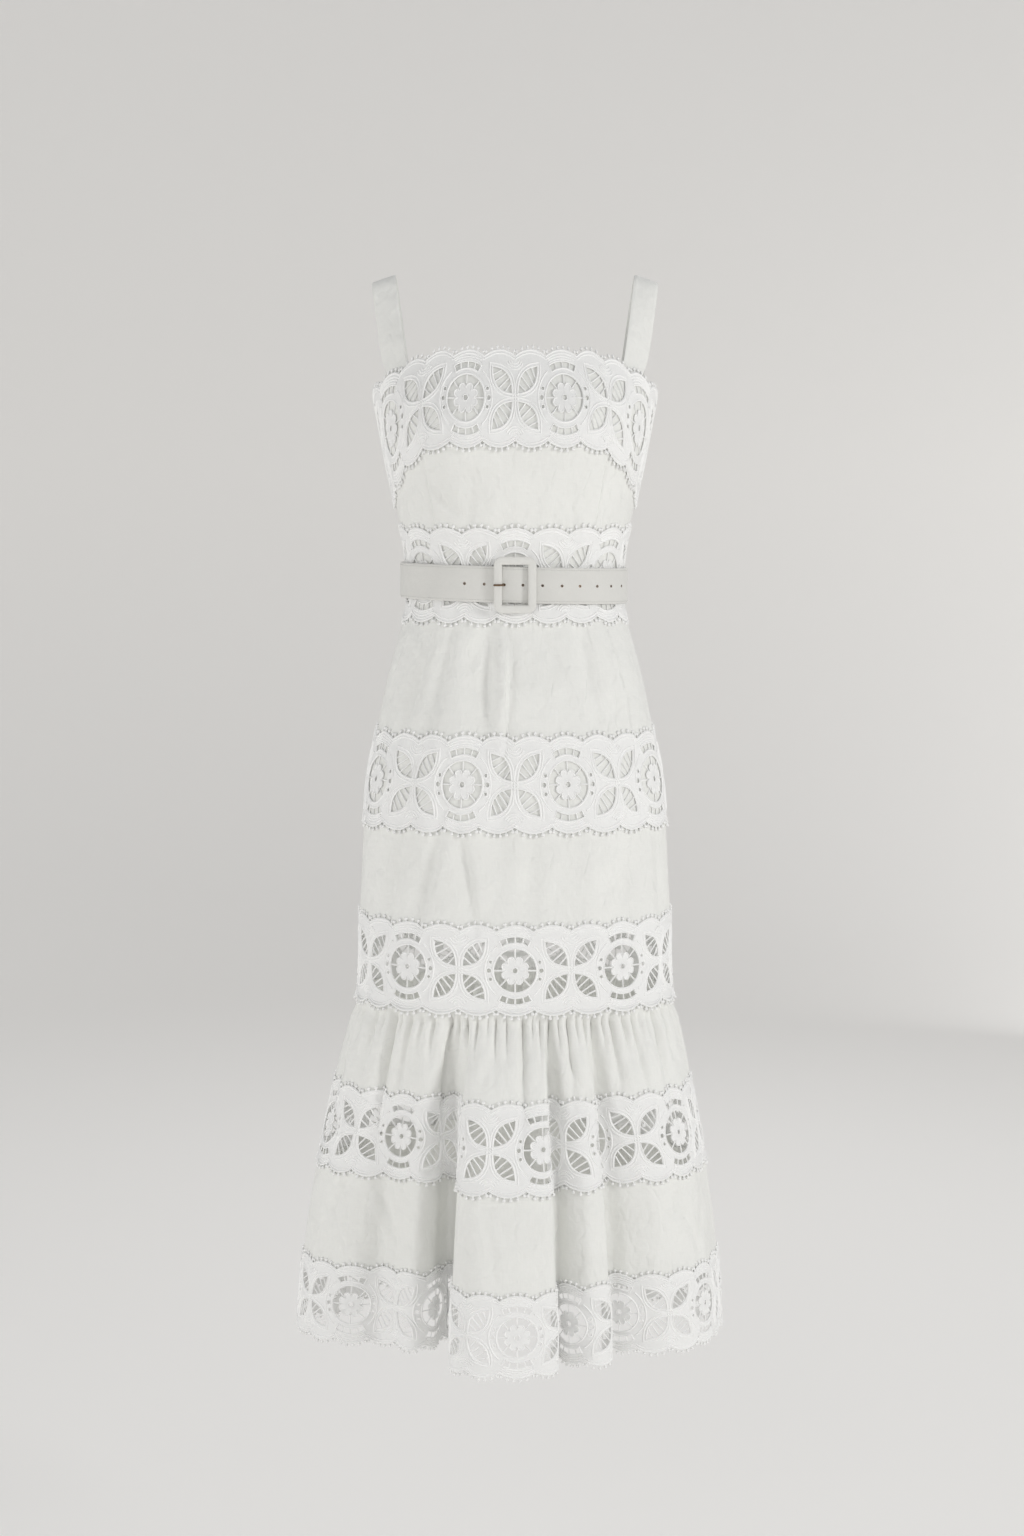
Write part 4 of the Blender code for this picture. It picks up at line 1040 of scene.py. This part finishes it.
def belt_stitches(start, end):
    """A row of stitches along each edge of the belt, and round its tip."""
    size = Matrix.Diagonal((STITCH["long"], STITCH["thick"], STITCH["thick"], 1))
    row, up = BELT["tall"] / 2 - STITCH["from_edge"], BELT["thick"] + STITCH["up"]
    tip, in_tip = BELT_TIP["long"], BELT_TIP["long"] - STITCH["from_edge"]

    def stitch(form, x, y, heading=0.0):
        place = Matrix.Translation((x, y, up)) @ Matrix.Rotation(heading, 4, "Z") @ size
        bmesh.ops.create_icosphere(form, subdivisions=1, radius=1, matrix=place)

    form = bmesh.new()
    for y in (-row, row):
        stitch(form, start - STITCH["from_edge"], y)
    count = int((start - end - tip - 2 * STITCH["from_edge"]) / STITCH["apart"])
    stitches = rows_of(form, count, -STITCH["apart"])
    for turn in np.radians(np.linspace(*TIP_STITCHES)):
        c, s = math.cos(turn), math.sin(turn)
        stitch(stitches, end + tip + in_tip * c, row * s, math.atan2(-c * row, s * in_tip) + math.pi)
    return stitches


BUCKLE = {"rail": 0.0088, "corner": 5.0 * MM, "fullness": 2.7, "pucker": 0.13 * MM, "puckers": 9}
BUCKLE_GRID = {"round": 176, "section": 24, "corner": 12, "spread": 4 * MM}


def buckle_route(half_wide, half_tall):
    """A rounded rectangle as points with their outward directions and their share of a corner's turn."""
    corner, steps = BUCKLE["corner"], BUCKLE_GRID["corner"]
    rows = []
    for turn, (across, up) in enumerate(((1, 1), (-1, 1), (-1, -1), (1, -1))):
        centre = (across * (half_wide - corner), up * (half_tall - corner))
        for k in range(steps + 1):
            a = (turn + k / steps) * math.pi / 2
            c, s = math.cos(a), math.sin(a)
            rows.append((centre[0] + corner * c, centre[1] + corner * s, c, s, math.sin(math.pi * k / steps)))
    return np.array([*rows, rows[0]])


def make_buckle(material):
    """The padded cloth-covered frame, puckered a little where the cloth turns its corners."""
    low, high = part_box("belt_buckle")
    middle, size = (low + high) / 2, high - low
    rail, fullness = BUCKLE["rail"], BUCKLE["fullness"]
    route = buckle_route((size.x - rail) / 2, (size.z - rail) / 2)
    along = distances(route[:, :2]) + BUCKLE_GRID["spread"] * np.cumsum(route[:, 4])
    form = bmesh.new()
    bmesh.ops.create_grid(form, x_segments=BUCKLE_GRID["round"], y_segments=BUCKLE_GRID["section"], size=0.5)
    for v in form.verts:
        share = v.co.x + 0.5
        x, z, out_x, out_z, turning = (np.interp(share * along[-1], along, column) for column in route.T)
        angle = 2 * math.pi * (v.co.y + 0.5)
        c, s = math.cos(angle), math.sin(angle)
        pucker = BUCKLE["pucker"] * turning * (1 + math.cos(share * 4 * BUCKLE["puckers"] * 2 * math.pi)) / 2
        across = math.copysign(abs(c) ** (2 / fullness), c) * rail / 2 - pucker * c
        deep = math.copysign(abs(s) ** (2 / fullness), s) * size.y / 2 - pucker * s
        outwards = across / math.hypot(out_x, out_z)
        v.co = (middle.x + x + out_x * outwards, middle.y - deep, middle.z + z + out_z * outwards)
    bmesh.ops.remove_doubles(form, verts=form.verts, dist=1e-6)
    piece_of(form, "belt_buckle_cover", material, slot="belt_cloth", replaces=("belt_buckle",))


def refined(node, name, material, slot, body="dress", bevel=0.0):
    """A frame node's own shape, with its sharp edges rounded when a bevel is given."""
    form = bmesh.new()
    form.from_mesh(frame["nodes"][node].data)
    bmesh.ops.remove_doubles(form, verts=form.verts, dist=1e-6)
    bmesh.ops.dissolve_limit(form, angle_limit=math.radians(1), verts=form.verts, edges=form.edges)
    if bevel:
        sharp = [e for e in form.edges if e.calc_face_angle(0) > math.radians(40)]
        kind = {"offset_type": "OFFSET", "affect": "EDGES", "material": -1, "clamp_overlap": True}
        bmesh.ops.bevel(form, geom=sharp, offset=bevel, segments=3, profile=0.5, **kind)
    piece_of(form, name, material, body=body, slot=slot, replaces=(node,))


# ---------------------------------------------------------------- the zip

TAPE = {"thick": 1.0 * MM, "behind": 1.5 * MM, "across": 6, "up": 90}

# The coil in millimetres, which stops short of the tape's ends
COIL = {"apart": 1.3, "wide": 1.3, "deep": 0.7, "behind": 2.5, "thread": 0.33, "steps": 8, "short": 6}


def make_zip(materials):
    """The closed tape behind the centre back opening with its coil, and the slider with its pin and pull."""
    ring = ring_of("fitted", "back_zip")
    low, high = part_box("back_zip")
    middle, half, tall = ring.distance(0.0), (high.x - low.x) / 2, high.z - low.z
    form = panel(middle - half, middle + half, tall, TAPE["across"], TAPE["up"], TAPE["thick"])
    bmesh.ops.translate(form, vec=(0, 0, -TAPE["behind"]), verts=form.verts)
    tape = {"material": materials["tape"], "lay": functools.partial(ring.lay, tall=tall), "slot": "zip_tape"}
    piece = to_piece(form, "back_zip_tape", replaces=("back_zip",), **tape)
    turns = int((tall / MM - COIL["short"]) / COIL["apart"])
    coil = []
    for turn in np.arange(turns * COIL["steps"]) / COIL["steps"]:
        c, s = math.cos(2 * math.pi * turn), math.sin(2 * math.pi * turn)
        up = (turn - turns / 2) * COIL["apart"]
        coil.append((middle / MM + COIL["wide"] * c, up, COIL["deep"] * s - COIL["behind"]))
    to_piece(cords([(coil, False, COIL["thread"], 0)]), "back_zip_coil", **tape)
    refined("zip_slider", "zip_slider_body", materials["steel"], "zip_metal", bevel=0.35 * MM)
    refined("zip_pin", "zip_pull_pin", materials["steel"], "zip_metal")
    refined("zip_pull", "zip_pull_tab", materials["steel"], "zip_metal", body="pull", bevel=0.25 * MM)


# ---------------------------------------------------------------- materials


# The wave texture turns this many times as fast as its scale says
WAVE_SCALE = 20


def shade(colour, by):
    return tuple(c * by for c in colour)


class Nodes:
    """A principled material and its node tree, with short calls to add nodes and links."""

    def __init__(self, name, colour, roughness, inputs=()):
        self.colour = tuple(colour)
        self.material = bpy.data.materials.new(name)
        self.material.use_nodes = True
        self.material.diffuse_color = (*self.colour, 1)
        self.tree = self.material.node_tree
        self.shader = self.tree.nodes["Principled BSDF"]
        self.join(self.shader, {"Base Color": (*self.colour, 1), "Roughness": roughness, **dict(inputs)})

    def join(self, node, inputs):
        """Links or sets a node's inputs."""
        for key, value in dict(inputs).items():
            if isinstance(value, bpy.types.NodeSocket):
                self.tree.links.new(value, node.inputs[key])
            else:
                node.inputs[key].default_value = value

    def add(self, kind, inputs=(), out=0, **settings):
        """One of the outputs of a new node."""
        node = self.tree.nodes.new(kind)
        for key, value in settings.items():
            setattr(node, key, value)
        self.join(node, inputs)
        return node.outputs[out]

    def place(self, own_map=True, scale=(1, 1, 1), turn=0.0):
        """Coordinates in metres: the cloth's own flat ones, or the dress's."""
        if own_map:
            source = self.add("ShaderNodeUVMap", uv_map="cloth")
        else:
            source = self.add("ShaderNodeTexCoord", out="Object")
        inputs = {"Vector": source, "Scale": scale, "Rotation": (0, 0, math.radians(turn))}
        return self.add("ShaderNodeMapping", inputs)

    def noise(self, vector, scale, detail=2.0):
        return self.add("ShaderNodeTexNoise", {"Vector": vector, "Scale": scale, "Detail": detail}, "Fac")

    def bands(self, vector, pitch, across="X", distort=0.0):
        """Even ridges every so many metres."""
        scale = 2 * math.pi / WAVE_SCALE / pitch
        inputs = {"Vector": vector, "Scale": scale, "Distortion": distort, "Detail": 1.0}
        kind = {"wave_type": "BANDS", "bands_direction": across, "wave_profile": "SIN"}
        return self.add("ShaderNodeTexWave", inputs, "Fac", **kind)

    def blend(self, share, a, b):
        return self.add("ShaderNodeMix", {0: share, 2: a, 3: b}, data_type="FLOAT")

    def math(self, operation, a, b=0.5):
        return self.add("ShaderNodeMath", {0: a, 1: b}, operation=operation)

    def tint(self, value, *stops):
        """Two tones of the material's colour along a value, each as (value, brightness)."""
        ramp = self.tree.nodes.new("ShaderNodeValToRGB")
        self.join(ramp, {"Fac": value})
        for element, (place, brightness) in zip(ramp.color_ramp.elements, stops):
            element.position = place
            element.color = (*shade(self.colour, brightness), 1)
        self.join(self.shader, {"Base Color": ramp.outputs["Color"]})

    def relief(self, *layers):
        """Bumps one on top of another, each as (height, metres)."""
        below = {}
        for height, depth in layers:
            inputs = {"Height": height, "Distance": depth, "Strength": 1.0, **below}
            below = {"Normal": self.add("ShaderNodeBump", inputs, "Normal")}
        self.join(self.shader, below)


def linen_material(colours):
    """Slubbed plain-weave linen: crossed threads, thicker slubs, soft crumples and slight changes of tone."""
    nodes = Nodes("linen_cloth", colours.linen, 0.88, {"Sheen Weight": 0.12, "Sheen Roughness": 0.5})
    flat = nodes.place()
    tone = nodes.noise(flat, 14.0, 3.0)
    slubs = nodes.math("ADD", *(nodes.noise(nodes.place(scale=s), 70.0) for s in ((1, 16, 1), (16, 1, 1))))
    mixed = nodes.math("ADD", nodes.math("MULTIPLY", tone, 0.5), nodes.math("MULTIPLY", slubs, 0.25))
    nodes.tint(mixed, (0.30, 0.955), (0.70, 1.03))
    threads = nodes.math("ADD", nodes.bands(flat, 0.0008, "X", 2.0), nodes.bands(flat, 0.0008, "Y", 2.0))
    wander = nodes.noise(nodes.place(turn=35, scale=(1.6, 1, 1)), 24.0)
    spread = nodes.math("ABSOLUTE", nodes.math("SUBTRACT", wander, 0.5))
    lines = nodes.math("MINIMUM", nodes.math("MULTIPLY", spread, 14.0), 1.0)
    crumples = nodes.noise(flat, 34.0, 2.5)
    nodes.relief((threads, 0.00004), (slubs, 0.00020), (crumples, 0.0046), (lines, 0.00036))
    return nodes.material


def lace_material(colours):
    """Satin-stitched cutwork: stitches fan round each wheel and slant in mirrored rows between the wheels."""
    nodes = Nodes("lace_cutwork", colours.lace, 0.70, {"Sheen Weight": 0.15})
    flat = nodes.add("ShaderNodeUVMap", uv_map="cloth")
    along, up = (nodes.add("ShaderNodeSeparateXYZ", {"Vector": flat}, axis) for axis in "XY")
    across = nodes.math("PINGPONG", along, REPEAT["wide"] * MM / 2)
    mirrored = nodes.add("ShaderNodeCombineXYZ", {"X": across, "Y": nodes.math("ABSOLUTE", up)})
    turned = nodes.add("ShaderNodeMapping", {"Vector": mirrored, "Rotation": (0, 0, math.radians(52))})
    slanted = nodes.bands(turned, 0.00115, "X", 2.0)
    from_wheel = nodes.add("ShaderNodeVectorMath", {0: mirrored}, "Value", operation="LENGTH")
    angle = nodes.math("ARCTAN2", up, across)
    on_flower = nodes.math("LESS_THAN", from_wheel, WHEEL["window"] * MM)
    fans = nodes.math("MULTIPLY", angle, nodes.blend(on_flower, 150.0, 40.0))
    fanned = nodes.math("MULTIPLY_ADD", nodes.math("SINE", fans), 0.5)
    near = nodes.math("LESS_THAN", from_wheel, FANS_END)
    stitches = nodes.blend(near, slanted, fanned)
    height = nodes.math("ADD", stitches, nodes.math("MULTIPLY", nodes.noise(flat, 520.0, 1.0), 0.9))
    nodes.tint(nodes.math("MULTIPLY", height, 0.8), (0.25, 0.95), (0.95, 1.01))
    nodes.relief((height, 0.00011), (nodes.noise(flat, 110.0), 0.0008))
    return nodes.material


def thread_material(name, colour, *, roughness, fineness, dark, depth, sheen=0.0):
    """Tight wound thread: corded round the lace's cords, or twisted as sewing thread."""
    nodes = Nodes(name, colour, roughness, {"Sheen Weight": sheen})
    wound = nodes.noise(nodes.place(own_map=False), fineness, 1.0)
    nodes.tint(wound, (0.3, dark), (0.7, 1.0))
    nodes.relief((wound, depth))
    return nodes.material


def belt_material(colour, name):
    """Close-woven cloth drawn tight over a stiff core."""
    nodes = Nodes(name, colour, 0.84, {"Sheen Weight": 0.10})
    place = nodes.place(own_map=False)
    weave, tone = nodes.noise(place, 900.0), nodes.noise(place, 30.0, 3.0)
    both = nodes.math("ADD", nodes.math("MULTIPLY", weave, 0.4), nodes.math("MULTIPLY", tone, 0.6))
    nodes.tint(both, (0.3, 0.96), (0.7, 1.02))
    nodes.relief((weave, 0.00012), (nodes.noise(place, 160.0), 0.0004))
    return nodes.material


def tape_material(colours):
    """Fine herringbone zip tape."""
    nodes = Nodes("zip_tape_cloth", shade(colours.linen, 0.98), 0.75)
    ribs = nodes.bands(nodes.place(turn=30), 0.0009, "X", 1.0)
    nodes.tint(ribs, (0.2, 0.95), (0.8, 1.0))
    nodes.relief((ribs, 0.00012))
    return nodes.material


def metal_material(name, colour, roughness):
    """Plated metal with a slightly uneven polish."""
    nodes = Nodes(name, colour, roughness, {"Metallic": 1.0})
    place = nodes.place(own_map=False)
    nodes.tint(nodes.noise(place, 260.0, 3.0), (0.3, 0.85), (0.7, 1.08))
    polish = nodes.blend(nodes.noise(place, 700.0), roughness - 0.06, roughness + 0.10)
    nodes.join(nodes.shader, {"Roughness": polish})
    return nodes.material


# ---------------------------------------------------------------- sizes and colours


def length_setting(name, description, default):
    return FloatProperty(name=name, description=description, default=default, unit="LENGTH")


def colour_setting(name, description, default):
    return FloatVectorProperty(name=name, description=description, default=default, subtype="COLOR")


class DressSizes(bpy.types.PropertyGroup):
    """Sizes of the cloth and its making."""

    cloth: length_setting("Cloth", "Thickness of the plain cloth", 0.0010)
    lace: length_setting("Lace", "Thickness of the cutwork", 0.0011)
    lace_inside: length_setting("Lace inside", "How far the cutwork's back is from the skin", 0.0015)
    seam_gap: length_setting("Seam gap", "Gap between two pieces", 0.00012)
    cloth_step: length_setting("Cloth step", "Mesh step of fitted cloth", 0.0044)
    fold_step: length_setting("Fold step", "Mesh step of gathered cloth", 0.0019)


class DressColours(bpy.types.PropertyGroup):
    """Colours of the dress's materials."""

    linen: colour_setting("Linen", "Plain cloth", (0.84, 0.842, 0.812))
    lace: colour_setting("Lace", "Cutwork and cords", (0.87, 0.87, 0.86))
    belt: colour_setting("Belt", "Covered belt and buckle", (0.70, 0.695, 0.665))
    steel: colour_setting("Steel", "Slider, pin and pull", (0.72, 0.72, 0.71))
    bronze: colour_setting("Bronze", "Prong and hole rims", (0.20, 0.13, 0.08))
    backdrop: colour_setting("Backdrop", "Floor and wall", (0.80, 0.788, 0.768))


# ---------------------------------------------------------------- operators


class DRESS_OT_plain_cloth(bpy.types.Operator):
    """Makes the bodice, the skirt and the flounce's plain cloth"""

    bl_idname = "dress.plain_cloth"
    bl_label = "Plain cloth"

    def execute(self, context):
        linen = linen_material(context.scene.dress_colours)
        for tier in PLAIN:
            make_plain(*tier, linen, context.scene.dress_sizes)
        return {"FINISHED"}


class DRESS_OT_lace(bpy.types.Operator):
    """Makes the six bands of cutwork lace with their cords and beaded edges"""

    bl_idname = "dress.lace"
    bl_label = "Lace bands"

    def execute(self, context):
        colours = context.scene.dress_colours
        cord = {"roughness": 0.62, "fineness": 1300.0, "dark": 0.96, "depth": 0.00016, "sheen": 0.15}
        # The cords and beads are the lace colour made 7% brighter: partly whiter thread, partly a painted
        # highlight on the raised cords and beads
        corded = thread_material("lace_cord_whiteness_and_highlight", shade(colours.lace, 1.07), **cord)
        materials = {"cutwork": lace_material(colours), "cords": corded}
        units = {skin: sheet_unit(step) for skin, step in LACE_STEP.items()}
        units["trim"] = trim_unit()
        for band in BANDS:
            make_band(band, units, materials, context.scene.dress_sizes)
        return {"FINISHED"}


class DRESS_OT_straps(bpy.types.Operator):
    """Makes the two shoulder straps"""

    bl_idname = "dress.straps"
    bl_label = "Straps"

    def execute(self, context):
        linen = linen_material(context.scene.dress_colours)
        make_strap("strap_right", -1, linen)
        make_strap("strap_left", 1, linen)
        return {"FINISHED"}


class DRESS_OT_belt(bpy.types.Operator):
    """Makes the covered belt, its stitches, holes, buckle, bar and prong"""

    bl_idname = "dress.belt"
    bl_label = "Belt"

    def execute(self, context):
        colours = context.scene.dress_colours
        # The buckle's cover, also used on the hidden bar, is the belt cloth made 5% lighter, a painted
        # highlight on the raised buckle
        cover = belt_material(shade(colours.belt, 1.05), "buckle_cloth_painted_highlight")
        thread = {"roughness": 0.55, "fineness": 2200.0, "dark": 0.92, "depth": 0.00008}
        materials = {
            "belt": belt_material(colours.belt, "belt_cloth"),
            # The stitches' thread is the belt colour darkened, painted shade for the small shadows along the
            # rows of stitches
            "thread": thread_material("sewing_thread_painted_shade", shade(colours.belt, 0.84), **thread),
            "bronze": metal_material("bronze", colours.bronze, roughness=0.38),
        }
        make_belt(materials)
        make_buckle(cover)
        refined("belt_prong", "belt_prong_rod", materials["bronze"], "bronze")
        refined("buckle_bar", "buckle_bar_rod", cover, "belt_cloth")
        return {"FINISHED"}


class DRESS_OT_zip(bpy.types.Operator):
    """Makes the closed zip at the centre back with its slider and pull"""

    bl_idname = "dress.zip"
    bl_label = "Zip"

    def execute(self, context):
        colours = context.scene.dress_colours
        steel = metal_material("zip_metal", colours.steel, roughness=0.3)
        make_zip({"tape": tape_material(colours), "steel": steel})
        return {"FINISHED"}


class DRESS_OT_stage(bpy.types.Operator):
    """Makes the floor and backdrop, the lights and the camera"""

    bl_idname = "dress.stage"
    bl_label = "Stage"

    def execute(self, context):
        make_backdrop(context.scene.dress_colours)
        make_lights(context.scene)
        make_camera(context.scene)
        context.scene.view_settings.view_transform = "Standard"
        return {"FINISHED"}


# ---------------------------------------------------------------- the stage

# The sweep: its floor's height, its wall's distance, the bend between them, its top and its own glow. It is
# turned from a line that starts a hole's width from the middle, and the hole is closed.
STAGE = {"floor": -1.62, "radius": 6.0, "cove": 1.5, "top": 3.2, "glow": 0.165, "hole": 0.01, "flat": 2.0}
STAGE_STEPS = {"bend": 12, "round": 64}
CAMERA = {"lens": 63.9, "place": (-0.0033, -3.0, -0.2389), "down": 5.613}

# Soft lights, as (name, place, what they are turned to, size, watts)
LIGHTS = (
    ("key", (3.0, -2.1, 0.2), (0, 0, -0.6), 0.8, 45.0),
    ("fill", (-0.9, -3.6, 0.4), (0, 0, -0.7), 1.4, 12.5),
    ("left", (-2.9, -1.2, -0.7), (0, 0, -0.8), 1.6, 20.0),
    ("back", (0.6, 2.8, 1.4), (0, 0, -0.6), 2.2, 26.0),
    ("wall", (2.0, 3.6, -0.8), (2.9, 6.0, -0.6), 1.6, 9.0),
)

# A lamp inside the skirt, turned to the front, for the light that gets in through the cloth
INSIDE = {"place": (0.0, -0.03, -0.72), "wide": 0.10, "tall": 0.60, "watts": 0.26}
WORLD = ((0.97, 0.98, 1.0), 0.43)


def make_backdrop(colours):
    """A round sweep: a flat floor that curves up into a wall."""
    cove, straight = STAGE["cove"], STAGE["radius"] - STAGE["cove"]
    bend = [(straight + x, cove + z) for x, z in arc(cove, -90, 0, STAGE_STEPS["bend"])]
    profile = [(STAGE["hole"], 0.0), (STAGE["flat"], 0.0), *bend, (STAGE["radius"], STAGE["top"])]
    form = bmesh.new()
    verts = [form.verts.new((x, 0, STAGE["floor"] + z)) for x, z in profile]
    line = verts + [form.edges.new(pair) for pair in zip(verts, verts[1:])]
    turn = {"cent": (0, 0, 0), "axis": (0, 0, 1), "angle": 2 * math.pi, "use_merge": True}
    bmesh.ops.spin(form, geom=line, steps=STAGE_STEPS["round"], **turn)
    bmesh.ops.remove_doubles(form, verts=form.verts, dist=1e-5)
    close_holes(form, sides=80, near=STAGE["flat"])
    mesh = bpy.data.meshes.new("backdrop")
    form.to_mesh(mesh)
    form.free()
    mesh.shade_smooth()
    glow = {"Emission Color": (*colours.backdrop, 1), "Emission Strength": STAGE["glow"]}
    nodes = Nodes("backdrop", colours.backdrop, 0.9, {"Specular IOR Level": 0.1, **glow})
    mesh.materials.append(nodes.material)
    add_object("backdrop", mesh)


def area_light(name, place, watts, **shape):
    light = bpy.data.lights.new(name, "AREA")
    light.energy = watts
    for key, value in shape.items():
        setattr(light, key, value)
    lamp = add_object(name, light)
    lamp.location = place
    return lamp


def make_lights(scene):
    for name, place, aim, size, watts in LIGHTS:
        lamp = area_light(name, place, watts, shape="DISK", size=size)
        lamp.rotation_euler = (Vector(aim) - Vector(place)).to_track_quat("-Z", "Y").to_euler()
    size = {"size": INSIDE["wide"], "size_y": INSIDE["tall"]}
    inside = area_light("inside", INSIDE["place"], INSIDE["watts"], shape="RECTANGLE", **size)
    inside.rotation_euler = (math.radians(90), 0, math.radians(180))
    inside.visible_camera = False
    world = bpy.data.worlds.new("studio")
    world.use_nodes = True
    background = world.node_tree.nodes["Background"]
    background.inputs["Color"].default_value = (*WORLD[0], 1)
    background.inputs["Strength"].default_value = WORLD[1]
    scene.world = world


def make_camera(scene):
    data = bpy.data.cameras.new("camera")
    data.lens = CAMERA["lens"]
    camera = add_object("camera", data)
    camera.location = CAMERA["place"]
    camera.rotation_euler = (math.radians(90 - CAMERA["down"]), 0, 0)
    scene.camera = camera


# ---------------------------------------------------------------- the sidebar


class DRESS_PT_panel(bpy.types.Panel):
    """Lists the dress's pieces, sizes and colours"""

    bl_idname = "DRESS_PT_panel"
    bl_label = "Tiered lace dress"
    bl_space_type = "VIEW_3D"
    bl_region_type = "UI"
    bl_category = "Dress"

    def draw(self, context):
        for group in (context.scene.dress_sizes, context.scene.dress_colours):
            for name in group.__annotations__:
                self.layout.prop(group, name)
        for operator in OPERATORS:
            self.layout.operator(operator.bl_idname)


OPERATORS = (
    DRESS_OT_plain_cloth,
    DRESS_OT_lace,
    DRESS_OT_straps,
    DRESS_OT_belt,
    DRESS_OT_zip,
    DRESS_OT_stage,
)
CLASSES = (DressSizes, DressColours, *OPERATORS, DRESS_PT_panel)


def register():
    for cls in CLASSES:
        bpy.utils.register_class(cls)
    bpy.types.Scene.dress_sizes = PointerProperty(type=DressSizes)
    bpy.types.Scene.dress_colours = PointerProperty(type=DressColours)


def unregister():
    del bpy.types.Scene.dress_sizes
    del bpy.types.Scene.dress_colours
    for cls in reversed(CLASSES):
        bpy.utils.unregister_class(cls)


def main():
    register()
    for operator in OPERATORS:
        group, name = operator.bl_idname.split(".")
        getattr(getattr(bpy.ops, group), name)()


if __name__ == "__main__":
    main()
